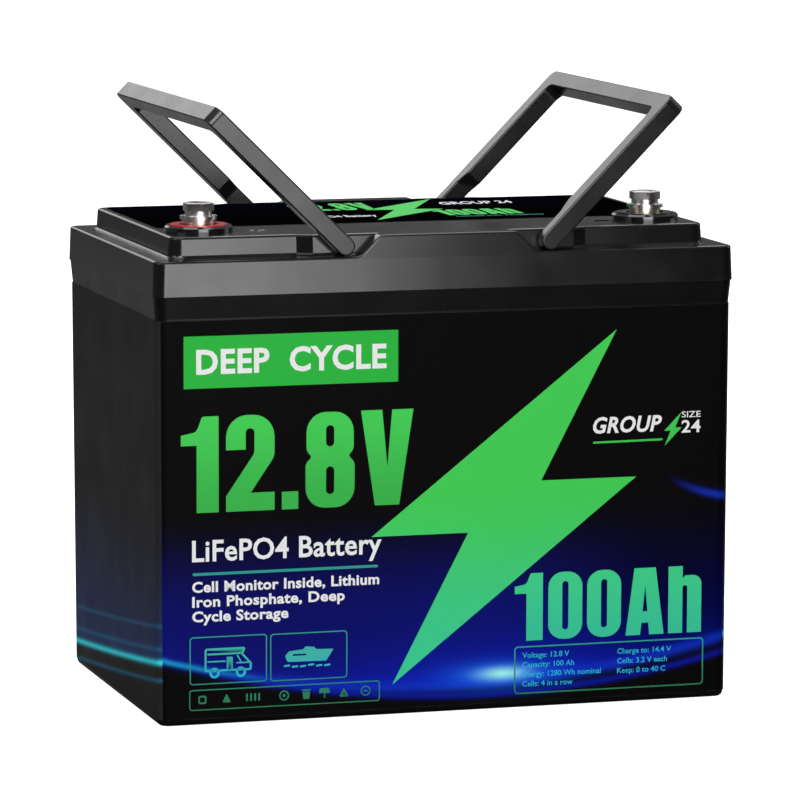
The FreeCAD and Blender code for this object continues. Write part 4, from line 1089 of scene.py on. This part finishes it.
# %% [markdown]
# # Floor and light
#
# A plain pale sheet goes under the battery and behind it. The battery is nearly black, so what is
# seen of it is mostly reflections, and these are set by cards of light. A low card straight in
# front of the long side is mirrored by the lid's skirt at the left and runs out towards the
# right. Two high cards, in front and behind, light the print. A wide soft one above makes the
# level faces and the handles grey, and weak ones stand at the sides and behind.
#
# The sheet looks white, but a white one would also be mirrored in the black plastic. So the
# battery meets a sheet that is dark in front of it and grey behind it, and only the camera sees
# the pale one.

# %% The pale floor
FLOOR_HALF = 12.0
MIRRORED_IN_FRONT = (0.04, 0.04, 0.04)
MIRRORED_BEHIND = (0.21, 0.21, 0.21)
floor_mesh = bpy.data.meshes.new("floor")
floor_mesh.from_pydata([(-FLOOR_HALF, -FLOOR_HALF, 0), (FLOOR_HALF, -FLOOR_HALF, 0),
                        (FLOOR_HALF, FLOOR_HALF, 0), (-FLOOR_HALF, FLOOR_HALF, 0)], [], [(0, 1, 2, 3)])
floor = bpy.data.objects.new("floor", floor_mesh)
bpy.context.scene.collection.objects.link(floor)
floor.location.z = -0.1 * MM
paper = bpy.data.materials.new("pale paper")
paper.use_nodes = True
tree = paper.node_tree
tree.nodes.remove(tree.nodes["Principled BSDF"])
sheet_to_eye = add(tree, "AddShader", {
    0: add(tree, "BsdfDiffuse", {"Color": (0.8, 0.8, 0.8)}).outputs[0],
    1: add(tree, "Emission", {"Color": (1.0, 1.0, 1.0), "Strength": 0.92}).outputs[0]})
_, parts = object_place(tree)
behind = ramp_of(tree, parts["Y"], -150 * MM, 150 * MM)
mirrored = blend_of(tree, behind, MIRRORED_IN_FRONT, MIRRORED_BEHIND)
sheet_to_battery = add(tree, "BsdfDiffuse", {"Color": mirrored})
seen = add(tree, "LightPath").outputs["Is Camera Ray"]
paper_mix = add(tree, "MixShader", {
    0: seen, 1: sheet_to_battery.outputs[0], 2: sheet_to_eye.outputs[0]})
put(tree, paper_mix.outputs[0], tree.nodes["Material Output"].inputs["Surface"])
floor_mesh.materials.append(paper)
print("floor", 2 * FLOOR_HALF, "m wide")

# %% World and lights
world = bpy.data.worlds.new("studio")
bpy.context.scene.world = world
world.use_nodes = True
tree = world.node_tree
tree.nodes.clear()
direction = add(tree, "SeparateXYZ", {0: add(tree, "TexCoord").outputs["Generated"]})
overhead = ramp_of(tree, direction.outputs["Z"], -0.1, 0.9)
dim = blend_of(tree, overhead, (0.05, 0.05, 0.05), (0.40, 0.40, 0.40))
seen = add(tree, "LightPath").outputs["Is Camera Ray"]
room = blend_of(tree, seen, dim, (1.0, 1.0, 1.0))
add(tree, "OutputWorld", {"Surface": add(tree, "Background", {"Color": room}).outputs[0]})


def card(name, place, aim, width, height, power):
    """A rectangular light at a place, facing a point, that the camera doesn't see."""
    light = bpy.data.lights.new(name, "AREA")
    light.shape = "RECTANGLE"
    light.size = width
    light.size_y = height
    light.energy = power
    lamp = bpy.data.objects.new(name, light)
    lamp.location = place
    lamp.rotation_euler = (Vector(aim) - Vector(place)).to_track_quat("-Z", "Y").to_euler()
    lamp.visible_camera = False
    bpy.context.scene.collection.objects.link(lamp)


card("front card", (-0.04, -1.20, 0.21), (-0.04, 0.0, 0.21), 0.66, 0.40, 5.0)
card("fill card", (-0.90, -1.90, 1.50), (0.0, 0.0, 0.12), 1.00, 1.00, 27.0)
card("rear fill card", (0.90, 1.90, 1.60), (0.0, 0.0, 0.12), 1.00, 1.00, 9.0)
card("roof card", (-0.10, 0.10, 1.90), (0.0, 0.0, 0.2), 1.60, 1.40, 16.0)
card("left card", (-1.60, -0.50, 0.90), (-0.05, 0.0, 0.15), 0.90, 0.90, 6.0)
card("back card", (-0.26, 1.70, 0.80), (0.0, 0.0, 0.20), 1.00, 0.60, 2.6)
card("right card", (1.70, 0.10, 0.70), (0.05, 0.0, 0.12), 0.80, 0.80, 2.6)
bpy.context.scene.view_settings.view_transform = "Standard"
print("lights placed")
